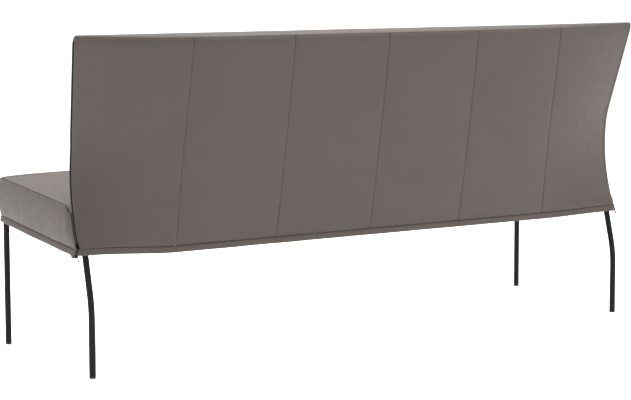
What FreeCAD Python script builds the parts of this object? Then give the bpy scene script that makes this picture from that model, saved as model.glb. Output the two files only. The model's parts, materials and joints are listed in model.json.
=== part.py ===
"""Armless dining sofa: a long upholstered seat and back on four slim round legs.

The frame is +X along the length, +Y to the rear, +Z up, and the origin is on the floor under
the middle of the sofa's box. The seat is modelled in its own coordinates, s to the rear and
n square to the seat, and is then tilted and put in place as a whole.
"""
import FreeCAD
import Part
import math
import os

from FreeCAD import Vector

# Whole sofa
overall_length = 1830.0
overall_depth = 644.0
overall_height = 890.0
cut_overrun = 40.0
flat_bend_share = 0.00001
play = 0.3
layer_play = 0.8

# Seat
seat_tilt_deg = 4.2
seat_front_bottom_z = 349.0
seat_nose = 17.0
seat_side_height = 129.0
seat_crown = 8.0
seat_edge_crown = 1.5
seat_front_from_end = 7.0
seat_rear_from_end = 23.0
seat_side_bulge = 3.0
seat_corner_radius = 30.0
seat_nose_radius = 28.0
seat_under_back = 77.8
nose_height_share = 0.55
brow_share = 0.6
turn_share = 0.29
seat_hem_height = 19.0
cover_thickness = 3.0

# Seat frame, springs and foam
board_thickness = 24.0
board_height = 70.0
board_lift = 12.0
side_rail_in_cover = 6.0
front_rail_s = 8.0
rear_rail_before_back = 4.2
side_rail_past_rear = 50.0
stretcher_from_end = 615.0
stretcher_height = 50.0
corner_block_side = 60.0
corner_block_height = 45.0
spring_wire = 3.6
spring_count = 8
spring_width = 50.0
spring_waves = 10
clip_width = 22.0
clip_thickness = 1.5
clip_reach = 7.0
spring_from_end = 155.0
felt_thickness = 3.0
dust_thickness = 0.8
dust_in_cover = 1.0
dust_cut_play = 1.0

# Legs
leg_diameter = 17.2
leg_wall = 2.0
leg_front_from_end = 19.0
leg_rear_from_end = 46.0
leg_front_inset = 42.0
leg_rear_inset = 79.0
leg_bend_start_z = 148.0
leg_bend_radius = 300.0
leg_bend_deg = 15.6
glide_height = 5.0
glide_edge_radius = 1.5
glide_stem = 14.0
plate_inward = 58.0
plate_along = 36.0
plate_outward = 8.0
plate_thickness = 4.0
bolt_diameter = 6.0
bolt_head_diameter = 10.5
bolt_head_height = 3.2
bolt_length = 30.0
bolt_near = 20.0
bolt_far = 48.0
bolt_along = 26.0
bolt_close = 14.0
hole_play = 0.1

# Back
back_hem_z = 306.0
back_lean = 105.0
back_belly = 4.0
back_reach = 184.0
back_front_lean = 84.0
back_front_start_z = 500.0
back_front_power = 1.35
back_crest_radius = 28.0
back_sweep_start = 450.0
back_end_round = 18.0
back_end_wrap = 14.0
back_front_roll = 48.0
back_height_shares = (0.0, 0.07, 0.14, 0.22, 0.3, 0.38, 0.46, 0.55, 0.64, 0.73, 0.82, 0.91, 1.0)
crest_turn_shares = (0.3, 0.55, 0.78, 1.0)
crest_end_share = 0.25
crest_front_share = 0.5
crest_tape_share = 0.1
wrap_bulge_share = 0.72
roll_bulge_share = 0.30
pitch_more_at_bottom = 0.5
pitch_less_at_top = 4.9
panel_crown = 2.0
panel_count = 6
panel_seam = 0.6
panel_top_drop = 12.0
back_hem_height = 17.0
hem_foot_flare = 9.0
hem_top_flare = 4.0
padding_thickness = 5.0
back_foam_thickness = 20.0
back_foam_bottom_z = 432.0

# Back frame
back_board = 24.0
back_rail_height = 60.0
back_rail_depth = 24.0
back_post_from_end = 475.0
back_frame_lift = 21.0
back_frame_top_drop = 40.0
back_bottom_rail_inset = 38.0
side_board_cut_play = 1.0
fixing_end_play = 1.0
middle_rail_z = 600.0
strap_width = 50.0
strap_thickness = 1.5
strap_first_z = 450.0
strap_pitch = 90.0
strap_count = 4
bracket_width = 30.0
bracket_rise = 34.0
bracket_thickness = 3.0

# Zips: each runs up an end edge of the back, first on an arc and then straight
zip_radius = 440.0
zip_waist_reach = 155.0
zip_waist_z = 522.0
zip_lean_deg = 16.5
zip_from_end = 24.0
zip_flare_start_z = 600.0
zip_bottom_z = 335.0
zip_tape_half = 6.0
zip_tape_thickness = 0.8
zip_chain_half = 3.0
zip_chain_proud = 0.8
zip_top_drop = 5.0
slider_length = 14.0
slider_half = 5.5
slider_plate = 1.2
slider_rest_z = 345.0
slider_gap = 0.3
lug_length = 5.0
lug_width = 2.4
lug_height = 2.4
pin_radius = 0.6
pin_clearance = 0.06
pull_length = 46.0
pull_width = 3.2
pull_thickness = 1.0

# Values that follow from the sizes above
tilt = math.radians(seat_tilt_deg)
half_length = overall_length / 2
half_depth = overall_depth / 2
seat_front_y = seat_nose - half_depth
seat_front_half = half_length - seat_front_from_end
seat_rear_half = half_length - seat_rear_from_end
back_front_y = half_depth - back_reach
seat_before_back = (back_front_y - seat_front_y) / math.cos(tilt)
seat_run = seat_before_back + seat_under_back
side_rail_outer = seat_rear_half - side_rail_in_cover
rear_rail_s = seat_before_back - rear_rail_before_back
side_rail_end_s = rear_rail_s + side_rail_past_rear
stretcher_place = half_length - stretcher_from_end
spring_spread = half_length - spring_from_end
leg_front_x = half_length - leg_front_from_end
leg_rear_x = half_length - leg_rear_from_end
leg_front_y = leg_front_inset - half_depth
leg_rear_y = half_depth - leg_rear_inset
back_post_pitch = half_length - back_post_from_end
back_frame_bottom_z = back_hem_z + back_frame_lift
back_frame_top_z = overall_height - back_frame_top_drop
back_bottom_rail_y = back_front_y + back_bottom_rail_inset
panel_pitch = overall_length / panel_count
panel_pitch_bottom = panel_pitch + pitch_more_at_bottom
panel_pitch_top = panel_pitch - pitch_less_at_top
zip_half_width_x = half_length - zip_from_end
zip_waist_y = half_depth - zip_waist_reach
zip_foot_y = half_depth - back_lean - panel_crown - 2 * zip_tape_half
back_foot_y = half_depth - back_lean - panel_crown
zip_centre_y = zip_waist_y + zip_radius
zip_lean = math.radians(zip_lean_deg)
zip_arc_top_z = zip_waist_z + zip_radius * math.sin(zip_lean)
zip_arc_top_y = zip_centre_y - zip_radius * math.cos(zip_lean)
leg_radius = leg_diameter / 2
bolt_radius = bolt_diameter / 2
seat_board_top = board_lift + board_height
foam_bottom = seat_board_top + 2 * clip_thickness + spring_wire + felt_thickness + 2 * play
before_posts_s = rear_rail_s - play
side_board_outer = side_rail_outer - board_thickness - play
board_front_inset = cover_thickness + back_foam_thickness + strap_thickness + 2 * layer_play

sides = {"left": -1, "right": 1}
nodes = {}


# Small makers
def box(x0, x1, y0, y1, z0, z1):
    return Part.makeBox(x1 - x0, y1 - y0, z1 - z0, Vector(x0, y0, z0))


def cylinder(radius, start, end):
    run = end - start
    return Part.makeCylinder(radius, run.Length, start, run)


def bend(start, middle, end):
    """An arc through three points, or a line where they lie too nearly in line."""
    chord = (end - start).normalize()
    off = middle - start
    sagitta = (off - chord * off.dot(chord)).Length
    if sagitta < (end - start).Length * flat_bend_share:
        return Part.LineSegment(start, end).toShape()
    return Part.Arc(start, middle, end).toShape()


def line(start, end):
    return Part.LineSegment(start, end).toShape()


def polygon(points):
    return Part.Wire(Part.makePolygon(points + [points[0]]).Edges)


def prism(wire, push):
    return Part.Face(wire).extrude(push)


def mirrored(shape):
    return shape.mirror(Vector(0, 0, 0), Vector(1, 0, 0))


def seat_place(shape):
    """Tilts a shape made in seat coordinates and puts it in the sofa's frame."""
    placed = shape.copy()
    placed.rotate(Vector(0, 0, 0), Vector(1, 0, 0), -seat_tilt_deg)
    placed.translate(Vector(0, seat_front_y, seat_front_bottom_z))
    return placed


def seat_s(y):
    """The seat's s coordinate of a place y on its underside."""
    return (y - seat_front_y) / math.cos(tilt)


def under_seat_z(y, lift):
    """The height at y of a plane that lies lift above the seat's bottom plane."""
    return seat_front_bottom_z - (y - seat_front_y) * math.tan(tilt) + lift / math.cos(tilt)


# Zip path, shared by the covers, the zips and the sliders
def zip_y(z, outward=0.0):
    """The zip's Y at height z; outward shifts it to the front, square to the path."""
    if z <= zip_arc_top_z:
        reach = zip_radius + outward
        return zip_centre_y - math.sqrt(reach ** 2 - (z - zip_waist_z) ** 2)
    return zip_arc_top_y + (z - zip_arc_top_z) * math.tan(zip_lean) - outward / math.cos(zip_lean)


def zip_x(z):
    """Half the sofa's width at the zip: upright below, flared towards the top corners."""
    if z <= zip_flare_start_z:
        return zip_half_width_x
    rise = (z - zip_flare_start_z) / (overall_height - zip_flare_start_z)
    return zip_half_width_x + (half_length - zip_half_width_x) * rise


# Back: its outer form is a loft through level sections
def rear_y(z):
    rise = (z - back_hem_z) / (overall_height - back_crest_radius - back_hem_z)
    return back_foot_y + back_lean * rise + back_belly * 4 * rise * (1 - rise)


def front_y(z):
    if z <= back_front_start_z:
        return back_front_y
    top = overall_height - back_crest_radius
    rise = (z - back_front_start_z) / (top - back_front_start_z)
    return back_front_y + back_front_lean * rise ** back_front_power


def pitch_x(z):
    rise = (z - back_hem_z) / (overall_height - back_hem_z)
    return panel_pitch_bottom + (panel_pitch_top - panel_pitch_bottom) * rise


def back_section(z, inset, drawn_in=0.0, flare=0.0):
    """The back's level outline at z: inset all round, drawn_in by the crest, its rear corners flared out."""
    edge_x = zip_x(z) - inset - drawn_in * crest_end_share
    round_x = edge_x - back_end_round
    zip_at = min(zip_y(z), rear_y(z) - zip_tape_half * 2)
    rear_at = rear_y(z) - inset - drawn_in
    corner_y = min(rear_y(z), zip_at + back_end_wrap) - inset - drawn_in * crest_end_share + flare
    front_at = front_y(z) + inset + drawn_in * crest_front_share
    tape = zip_tape_half - drawn_in * crest_tape_share
    sweep = rear_at - corner_y
    crown = panel_crown if inset == 0 else 2 * play

    def rear_point(x, lift):
        over = max(0.0, abs(x) - back_sweep_start) / (round_x - back_sweep_start)
        return Vector(x, rear_at - sweep * over ** 2 + lift, z)

    def end_edges(side):
        corner = Vector(side * round_x, corner_y, z)
        rear = Vector(side * edge_x, zip_at + tape, z)
        wrap = Vector(side * (round_x + (edge_x - round_x) * wrap_bulge_share),
                      rear.y + (corner_y - rear.y) * wrap_bulge_share, z)
        fore = Vector(side * edge_x, zip_at - tape, z)
        face = Vector(side * (edge_x - back_front_roll), front_at, z)
        roll = Vector(side * (edge_x - back_front_roll * roll_bulge_share),
                      front_at + (fore.y - front_at) * roll_bulge_share, z)
        return [bend(corner, wrap, rear), line(rear, fore), bend(fore, roll, face)], face

    seams = [(number - panel_count / 2) * pitch_x(z) for number in range(1, panel_count)]
    stops = [-round_x] + seams + [round_x]
    edges = []
    for start, end in zip(stops, stops[1:]):
        middle = rear_point((start + end) / 2, crown)
        edges.append(bend(rear_point(start, 0), middle, rear_point(end, 0)))
    right_end, right_face = end_edges(1)
    left_end, left_face = end_edges(-1)
    edges += right_end + [line(right_face, left_face)] + left_end
    return Part.Wire(Part.__sortEdges__(edges))


def back_form(inset, bottom_z):
    """The back's closed form, inset all over, from bottom_z up over the rounded crest."""
    radius = back_crest_radius - inset
    centre_z = overall_height - back_crest_radius
    body = []
    for share in back_height_shares:
        body.append(back_section(bottom_z + (centre_z - bottom_z) * share, inset))
    crest = [body[-1]]
    for share in crest_turn_shares:
        turn = share * math.pi / 2
        drawn_in = radius * (1 - math.cos(turn))
        crest.append(back_section(centre_z + radius * math.sin(turn), inset, drawn_in))
    return Part.makeLoft(body, True, False).fuse(Part.makeLoft(crest, True, False)).removeSplitter()


def zip_region(outward, top_z, far_y):
    """All between the zip's path, shifted by outward and led down past the hem, and y = far_y."""
    end_x = -half_length - cut_overrun

    def on_path(z):
        return Vector(end_x, zip_y(z, outward), z)

    arc_top_z = min(top_z, zip_arc_top_z)
    arc_middle_z = (zip_bottom_z + arc_top_z) / 2
    foot = Vector(end_x, zip_foot_y - outward, back_hem_z)
    below = Vector(end_x, zip_foot_y - outward, back_hem_z - cut_overrun)
    far_top = Vector(end_x, far_y, top_z)
    far_bottom = Vector(end_x, far_y, back_hem_z - cut_overrun)
    edges = [line(below, foot), line(foot, on_path(zip_bottom_z)),
             Part.Arc(on_path(zip_bottom_z), on_path(arc_middle_z), on_path(arc_top_z)).toShape()]
    if top_z > arc_top_z:
        edges.append(line(on_path(arc_top_z), on_path(top_z)))
    edges += [line(on_path(top_z), far_top), line(far_top, far_bottom), line(far_bottom, below)]
    return prism(Part.Wire(edges), Vector(2 * (half_length + cut_overrun), 0, 0))


def level_slab(low_z, high_z):
    reach_x = half_length + cut_overrun
    return box(-reach_x, reach_x, -overall_depth, overall_depth, low_z, high_z)


def panel_slab(number):
    """The space of one rear panel, between its two seams, which fan in slightly upwards."""
    low_z = back_hem_z - cut_overrun
    high_z = overall_height + cut_overrun
    gap = panel_seam / 2
    middle = panel_count / 2
    first = (number - 1 - middle) if number > 1 else -panel_count
    last = (number - middle) if number < panel_count else panel_count
    points = [Vector(first * pitch_x(low_z) + gap, -half_depth, low_z),
              Vector(last * pitch_x(low_z) - gap, -half_depth, low_z),
              Vector(last * pitch_x(high_z) - gap, -half_depth, high_z),
              Vector(first * pitch_x(high_z) + gap, -half_depth, high_z)]
    return prism(polygon(points), Vector(0, 2 * overall_depth, 0))


def make_back_covers(seat_space):
    outer = back_form(0.0, back_hem_z)
    inner = back_form(cover_thickness, back_hem_z)
    shell = outer.cut(inner)
    top_z = overall_height - panel_top_drop
    rear_side = zip_region(-zip_tape_half, top_z, overall_depth)
    rear_shell = shell.common(rear_side)
    above_hem = rear_shell.common(level_slab(back_hem_z + back_hem_height, overall_height))
    for number in range(1, panel_count + 1):
        nodes["rear_panel_%d" % number] = above_hem.common(panel_slab(number))

    hem_top_z = back_hem_z + back_hem_height - play
    bands = []
    for inset in (0.0, cover_thickness):
        levels = [back_section(back_hem_z, inset, flare=hem_foot_flare),
                  back_section(hem_top_z, inset, flare=hem_top_flare)]
        bands.append(Part.makeLoft(levels, True, True))
    nodes["rear_hem"] = bands[0].cut(bands[1]).common(rear_side)

    seat_top_rail_z = under_seat_z(back_front_y, seat_board_top)
    above_all = overall_height + cut_overrun
    front_side = zip_region(zip_tape_half, above_all, -overall_depth)
    front_side = front_side.common(level_slab(seat_top_rail_z, above_all))
    crest = level_slab(top_z + play, above_all)
    nodes["back_front_cover"] = shell.common(front_side.fuse(crest)).cut(seat_space)


# Seat: a form lofted across the sofa and trimmed by its outline seen from above
def seat_profile(x, inset):
    high = seat_side_height
    lift = seat_edge_crown + seat_crown * (1 - (x / seat_front_half) ** 2)
    radius = seat_nose_radius
    foot = Vector(x, inset, 0)
    nose = Vector(x, inset - seat_nose, high * nose_height_share)
    brow = Vector(x, inset - seat_nose * brow_share, high - radius)
    turn_s = inset - seat_nose * brow_share + radius * turn_share
    turn = Vector(x, turn_s, high - radius * turn_share - inset)
    edge = Vector(x, radius, high - inset)
    crown = Vector(x, (radius + seat_run) / 2, high + lift - inset)
    back_top = Vector(x, seat_run, high - inset)
    back_low = Vector(x, seat_run, 0)
    return Part.Wire([bend(foot, nose, brow), bend(brow, turn, edge), bend(edge, crown, back_top),
                      line(back_top, back_low), line(back_low, foot)])


def seat_plan(inset, front_inset):
    """The seat seen from above, as a tall prism: sides draw in to the rear, front corners are round."""
    radius = seat_corner_radius - inset
    front_s = front_inset - seat_nose
    half = seat_front_half - inset
    rear_half = seat_rear_half - inset
    diagonal = radius * (1 - math.sqrt(0.5))
    low = -cut_overrun
    edges = []
    for side in (1, -1):
        edges.append(bend(Vector(side * (half - radius), front_s, low),
                          Vector(side * (half - diagonal), front_s + diagonal, low),
                          Vector(side * half, front_s + radius, low)))
        edges.append(bend(Vector(side * half, front_s + radius, low),
                          Vector(side * ((half + rear_half) / 2 + seat_side_bulge), seat_run / 2, low),
                          Vector(side * rear_half, seat_run, low)))
    edges.append(line(Vector(half - radius, front_s, low), Vector(radius - half, front_s, low)))
    edges.append(line(Vector(rear_half, seat_run, low), Vector(-rear_half, seat_run, low)))
    return prism(Part.Wire(Part.__sortEdges__(edges)), Vector(0, 0, overall_height))


def seat_form(inset):
    reach = seat_front_half + cut_overrun
    wires = [seat_profile(share * reach, inset) for share in (-1.0, -0.5, 0.0, 0.5, 1.0)]
    return Part.makeLoft(wires, True, False).common(seat_plan(inset, inset))


def seat_slab(low, high, rear_s):
    """A level layer in seat coordinates, from in front of the seat back to rear_s."""
    reach = seat_front_half + cut_overrun
    return box(-reach, reach, -cut_overrun, rear_s, low, high)


def make_seat_soft_parts():
    shell = seat_form(0.0).cut(seat_form(cover_thickness))
    top_of_all = seat_side_height + seat_crown + cut_overrun
    before_back = seat_s(back_front_y) - play
    before_zip = zip_region(zip_tape_half + play, back_front_start_z, -overall_depth)

    hem = shell.common(seat_slab(0.0, seat_hem_height - play, seat_run - play))
    nodes["seat_hem"] = seat_place(hem).common(before_zip)

    upper = shell.common(seat_slab(seat_hem_height, top_of_all, seat_run - play))
    between_sides = seat_plan(cover_thickness + play, -seat_nose)
    top = upper.common(between_sides).common(seat_slab(0.0, top_of_all, before_back))
    nodes["seat_top_cover"] = seat_place(top)
    ends = seat_place(upper.cut(seat_plan(cover_thickness - play, -seat_nose))).common(before_zip)
    for name, side in sides.items():
        half = box(min(0, side * overall_length), max(0, side * overall_length),
                   -overall_depth, overall_depth, 0, overall_height)
        nodes["seat_side_cover_" + name] = ends.common(half)

    filling = seat_form(cover_thickness + play)
    foam = filling.common(seat_slab(foam_bottom, top_of_all, before_back - play))
    nodes["seat_foam"] = seat_place(foam)
    rail_space = box(-side_rail_outer - play, side_rail_outer + play, front_rail_s - play,
                     overall_depth, -cut_overrun, top_of_all)
    border = filling.cut(rail_space).common(seat_slab(seat_hem_height, foam_bottom - play, before_back))
    nodes["seat_border_padding"] = seat_place(border)


def seat_board(x0, x1, s0, s1, low=None, high=None):
    low = board_lift if low is None else low
    high = board_lift + board_height if high is None else high
    return seat_place(box(x0, x1, s0, s1, low, high))


def make_seat_frame():
    inner = side_rail_outer - board_thickness
    front = front_rail_s + board_thickness
    boards = {}
    boards["seat_front_rail"] = seat_board(-side_rail_outer, side_rail_outer, front_rail_s, front)
    boards["seat_rear_rail"] = seat_board(-inner, inner, rear_rail_s, rear_rail_s + board_thickness)
    for name, side in sides.items():
        ends = sorted((side * inner, side * side_rail_outer))
        boards["seat_side_rail_" + name] = seat_board(ends[0], ends[1], front, side_rail_end_s)
        ends = sorted((side * (stretcher_place - board_thickness / 2),
                       side * (stretcher_place + board_thickness / 2)))
        boards["seat_stretcher_" + name] = seat_board(ends[0], ends[1], front, rear_rail_s,
                                                      board_lift, board_lift + stretcher_height)
    blocks = []
    for side in (1, -1):
        ends = sorted((side * inner, side * (inner - corner_block_side)))
        for s0 in (front, rear_rail_s - corner_block_side):
            blocks.append(seat_board(ends[0], ends[1], s0, s0 + corner_block_side,
                                     board_lift, board_lift + corner_block_height))
    boards["seat_corner_blocks"] = Part.makeCompound(blocks)
    return boards


def zigzag_spring(x):
    """A flat zigzag spring of round wire, from the front rail's clip to the rear rail's clip."""
    start_s = front_rail_s + board_thickness / 2
    end_s = rear_rail_s + board_thickness / 2
    pitch = (end_s - start_s) / (2 * spring_waves)
    turn = pitch / 2
    straight = spring_width / 2 - turn
    level = board_lift + board_height + clip_thickness + spring_wire / 2
    edges = []
    for wave in range(2 * spring_waves):
        side = 1 if wave % 2 == 0 else -1
        s0 = start_s + wave * pitch
        first = Vector(x - side * straight, s0, level)
        second = Vector(x + side * straight, s0, level)
        edges.append(line(first, second))
        if wave < 2 * spring_waves - 1:
            last = Vector(second.x, s0 + pitch, level)
            round_end = Vector(second.x + side * turn, s0 + turn, level)
            edges.append(Part.Arc(second, round_end, last).toShape())
    path = Part.Wire(edges)
    start = edges[0].Vertexes[0].Point
    ring = Part.Wire(Part.Circle(start, Vector(1, 0, 0), spring_wire / 2).toShape())
    return path.makePipeShell([ring], True, False)


def make_springs():
    first_x = spring_spread
    gap = 2 * first_x / (spring_count - 1)
    springs = []
    clips = []
    front_s = front_rail_s + board_thickness / 2
    rear_s = rear_rail_s + board_thickness / 2
    base = board_lift + board_height
    model = zigzag_spring(0.0)
    for number in range(spring_count):
        x = -first_x + gap * number
        spring = model.copy()
        spring.translate(Vector(x, 0, 0))
        springs.append(seat_place(spring))
        for s in (front_s, rear_s):
            clip = box(x - clip_width / 2, x + clip_width / 2, s - clip_reach, s + clip_reach,
                       base, base + 2 * clip_thickness + spring_wire)
            slot = box(x - clip_width, x + clip_width, s - clip_reach + clip_thickness,
                       s + clip_reach - clip_thickness, base + clip_thickness - play / 2,
                       base + clip_thickness + spring_wire + play / 2)
            clips.append(seat_place(clip.cut(slot)))
    nodes["seat_springs"] = Part.makeCompound(springs)
    nodes["seat_spring_clips"] = Part.makeCompound(clips)
    half = side_rail_outer - board_thickness
    felt = box(-half, half, front_rail_s, before_posts_s, foam_bottom - felt_thickness - play,
               foam_bottom - play)
    nodes["seat_felt"] = seat_place(felt)


# Base: legs, their plates, bolts and glides
def leg_places():
    """Name, side, Y of the foot and the way along Y from the leg to the sofa's middle."""
    places = []
    for name, side in sides.items():
        places.append(("front_" + name, side * leg_front_x, leg_front_y, 1))
        places.append(("rear_" + name, side * leg_rear_x, leg_rear_y, -1))
    return places


def leg_path(x, foot_y, is_rear):
    top_z = seat_front_bottom_z + cut_overrun
    if not is_rear:
        return [line(Vector(x, foot_y, glide_height), Vector(x, foot_y, top_z))], foot_y
    turn = math.radians(leg_bend_deg)
    centre_y = foot_y - leg_bend_radius

    def on_bend(angle):
        return Vector(x, centre_y + leg_bend_radius * math.cos(angle),
                      leg_bend_start_z + leg_bend_radius * math.sin(angle))

    bend_end = on_bend(turn)
    top_y = bend_end.y - (top_z - bend_end.z) * math.tan(turn)
    start = Vector(x, foot_y, glide_height)
    edges = [line(start, on_bend(0)), Part.Arc(on_bend(0), on_bend(turn / 2), bend_end).toShape(),
             line(bend_end, Vector(x, top_y, top_z))]
    plate_z = under_seat_z(bend_end.y, board_lift - plate_thickness)
    return edges, bend_end.y - (plate_z - bend_end.z) * math.tan(turn)


def swept_tube(edges, outer, inner):
    path = Part.Wire(edges)
    start = edges[0].Vertexes[0].Point
    up = Vector(0, 0, 1)
    skins = []
    for radius in (outer, inner):
        ring = Part.Wire(Part.Circle(start, up, radius).toShape())
        skins.append(path.makePipeShell([ring], True, False))
    return skins[0].cut(skins[1])


def make_base():
    plate_low = board_lift - plate_thickness
    above_plate = seat_place(box(-half_length, half_length, -cut_overrun, overall_depth,
                                 plate_low, plate_low + overall_height))
    bolts = []
    shanks = []
    plate_spaces = []
    for name, x, foot_y, inward_y in leg_places():
        inward_x = -1 if x > 0 else 1
        edges, top_y = leg_path(x, foot_y, inward_y < 0)
        tube = swept_tube(edges, leg_radius, leg_radius - leg_wall)
        nodes["leg_" + name] = tube.cut(above_plate)

        stem_radius = leg_radius - leg_wall - hole_play
        cap = Part.makeCylinder(leg_radius, glide_height, Vector(x, foot_y, 0))
        cap = cap.makeFillet(glide_edge_radius, [edge for edge in cap.Edges if edge.BoundBox.ZMax < play])
        stem_foot = Vector(x, foot_y, glide_edge_radius)
        stem = Part.makeCylinder(stem_radius, glide_height + glide_stem, stem_foot)
        nodes["glide_" + name] = cap.fuse(stem).removeSplitter()

        s = seat_s(top_y)
        xs = sorted((x - inward_x * plate_outward, x + inward_x * plate_inward))
        ss = sorted((s - inward_y * plate_outward, s + inward_y * plate_along))
        plate = box(xs[0], xs[1], ss[0], ss[1], plate_low, board_lift)
        plate_spaces.append(box(xs[0] - dust_cut_play, xs[1] + dust_cut_play,
                                ss[0] - dust_cut_play, ss[1] + dust_cut_play, 0, board_lift))
        for near, along in ((bolt_near, bolt_along), (bolt_far, bolt_along), (bolt_near, bolt_close)):
            foot = Vector(x + inward_x * near, s + inward_y * along, plate_low)
            tip = foot + Vector(0, 0, bolt_length)
            head = foot - Vector(0, 0, bolt_head_height)
            shanks.append(cylinder(bolt_radius + hole_play, head, tip))
            bolts.append(seat_place(cylinder(bolt_radius, foot, tip).fuse(
                cylinder(bolt_head_diameter / 2, head, foot))))
            plate = plate.cut(shanks[-1])
        nodes["leg_plate_" + name] = seat_place(plate)
    nodes["leg_bolts"] = Part.makeCompound(bolts)

    dust_layer = seat_slab(board_lift - dust_thickness, board_lift - play / 2, seat_run - play)
    dust = seat_form(cover_thickness + dust_in_cover).common(dust_layer)
    for space in plate_spaces:
        dust = dust.cut(space)
    before_hem = zip_region(zip_tape_half + play, back_front_start_z, -overall_depth)
    nodes["seat_dust_cover"] = seat_place(dust).common(before_hem)
    return seat_place(Part.makeCompound(shanks))


# Back frame, padding and foam
def behind_front(inset):
    """All that lies behind the back's front face by inset."""
    low = back_frame_bottom_z
    top = overall_height - back_crest_radius
    heights = [low + (top - low) * share for share in back_height_shares] + [back_front_start_z]
    points = [Vector(-half_length, front_y(z) + inset, z) for z in sorted(heights)]
    points += [Vector(-half_length, overall_depth, top), Vector(-half_length, overall_depth, low)]
    return prism(polygon(points), Vector(2 * half_length, 0, 0))


def make_back_frame():
    core = back_form(cover_thickness + padding_thickness + 2 * play, back_hem_z)
    core = core.common(behind_front(board_front_inset))

    def board(x0, x1, y0, y1, z0, z1):
        return core.common(box(x0, x1, y0, y1, z0, z1))

    low = back_frame_bottom_z
    high = back_frame_top_z
    side_inner = side_board_outer - back_board
    boards = {}
    rear_of_rail = back_bottom_rail_y + back_rail_depth
    rails = {
        "back_bottom_rail": box(-side_inner, side_inner, back_bottom_rail_y, rear_of_rail,
                                low, low + back_rail_height),
        "back_middle_rail": board(-side_inner, side_inner, 0, front_y(middle_rail_z) + board_front_inset
                                  + back_rail_depth, middle_rail_z, middle_rail_z + back_rail_height),
        "back_top_rail": board(-side_inner, side_inner, 0, front_y(high) + board_front_inset
                               + back_rail_depth, high - back_rail_height, high),
    }
    boards.update(rails)
    for name, side in sides.items():
        ends = sorted((side * side_inner, side * side_board_outer))
        side_board = board(ends[0], ends[1], 0, half_depth, low, high)
        boards["back_side_board_" + name] = side_board.cut(box(
            ends[0] - side_board_cut_play, ends[1] + side_board_cut_play, rear_of_rail, half_depth,
            0, low + back_rail_height / 2))
    for name, x in (("left", -back_post_pitch), ("middle", 0), ("right", back_post_pitch)):
        post = board(x - back_board / 2, x + back_board / 2, 0, half_depth, low, high)
        for rail in rails.values():
            post = post.cut(rail)
        boards["back_post_" + name] = post
    return boards


def layer_solid(shape):
    """The largest solid of a cut layer, without the slivers beside it."""
    return max(shape.Solids, key=lambda solid: solid.Volume)


def make_back_filling(seat_space):
    lining = back_form(cover_thickness + play, back_hem_z)
    padding = lining.cut(back_form(cover_thickness + padding_thickness, back_hem_z))
    between_ends = box(-side_board_outer, side_board_outer, 0, overall_depth,
                       back_hem_z + back_hem_height, back_frame_top_z)
    rear = zip_region(-zip_tape_half, back_frame_top_z, overall_depth)
    rail_end = back_bottom_rail_y + back_rail_depth + play
    rail_space = box(-side_board_outer, side_board_outer, back_bottom_rail_y, rail_end,
                     back_hem_z, back_frame_bottom_z + back_rail_height + play)
    padding = padding.common(between_ends).common(rear).cut(rail_space)
    nodes["back_rear_padding"] = layer_solid(padding)

    foam_space = box(-half_length, half_length, 0, overall_depth,
                     back_foam_bottom_z, overall_height - back_crest_radius)
    before_boards = behind_front(cover_thickness + back_foam_thickness)
    foam = lining.common(foam_space).cut(before_boards).cut(seat_space)
    nodes["back_foam"] = layer_solid(foam)

    straps = []
    half = side_board_outer - play
    near = cover_thickness + back_foam_thickness + layer_play
    for number in range(strap_count):
        z = strap_first_z + strap_pitch * number
        corners = []
        for height in (z, z + strap_width):
            corners.append(Vector(-half, front_y(height) + near, height))
        for height in (z + strap_width, z):
            corners.append(Vector(-half, front_y(height) + near + strap_thickness, height))
        straps.append(prism(polygon(corners), Vector(2 * half, 0, 0)))
    nodes["back_straps"] = Part.makeCompound(straps)


def make_brackets():
    """Angle brackets from the seat's rear rail to the posts, and the bolts of the side boards."""
    brackets = []
    screws = []
    front = back_front_y + board_front_inset
    s_front = rear_rail_s + bracket_thickness
    foot_top = seat_board_top + bracket_thickness
    s_end = seat_s(front - play) - foot_top * math.tan(tilt)
    for x in (-back_post_pitch, 0, back_post_pitch):
        x0 = x - bracket_width / 2
        x1 = x + bracket_width / 2
        rail_top = under_seat_z(front - bracket_thickness - play, seat_board_top)
        foot = seat_place(box(x0, x1, s_front, s_end, seat_board_top, foot_top))
        rise = box(x0, x1, front - bracket_thickness - play, front - play,
                   rail_top, rail_top + bracket_rise)
        middle = (rail_top + back_foam_bottom_z) / 2
        start = Vector(x, front - bracket_thickness - play, middle)
        tip = Vector(x, front + bolt_length, middle)
        screws.append(cylinder(bolt_radius / 2, start, tip))
        brackets.append(foot.fuse(rise).cut(cylinder(bolt_radius / 2 + hole_play, start, tip)))
    bolts = []
    side_inner = side_board_outer - back_board
    for side in (1, -1):
        for z in (back_frame_bottom_z + board_thickness, back_frame_bottom_z + 2 * board_thickness):
            y = back_bottom_rail_y
            start = Vector(side * side_inner, y, z)
            tip = Vector(side * (side_rail_outer - fixing_end_play), y, z)
            head = start - Vector(side * bolt_head_height, 0, 0)
            bolts.append(cylinder(bolt_radius, start, tip).fuse(
                cylinder(bolt_head_diameter / 2, head, start)))
    nodes["back_brackets"] = Part.makeCompound(brackets)
    nodes["back_bolts"] = Part.makeCompound(bolts + screws)
    return nodes["back_bolts"]


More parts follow.
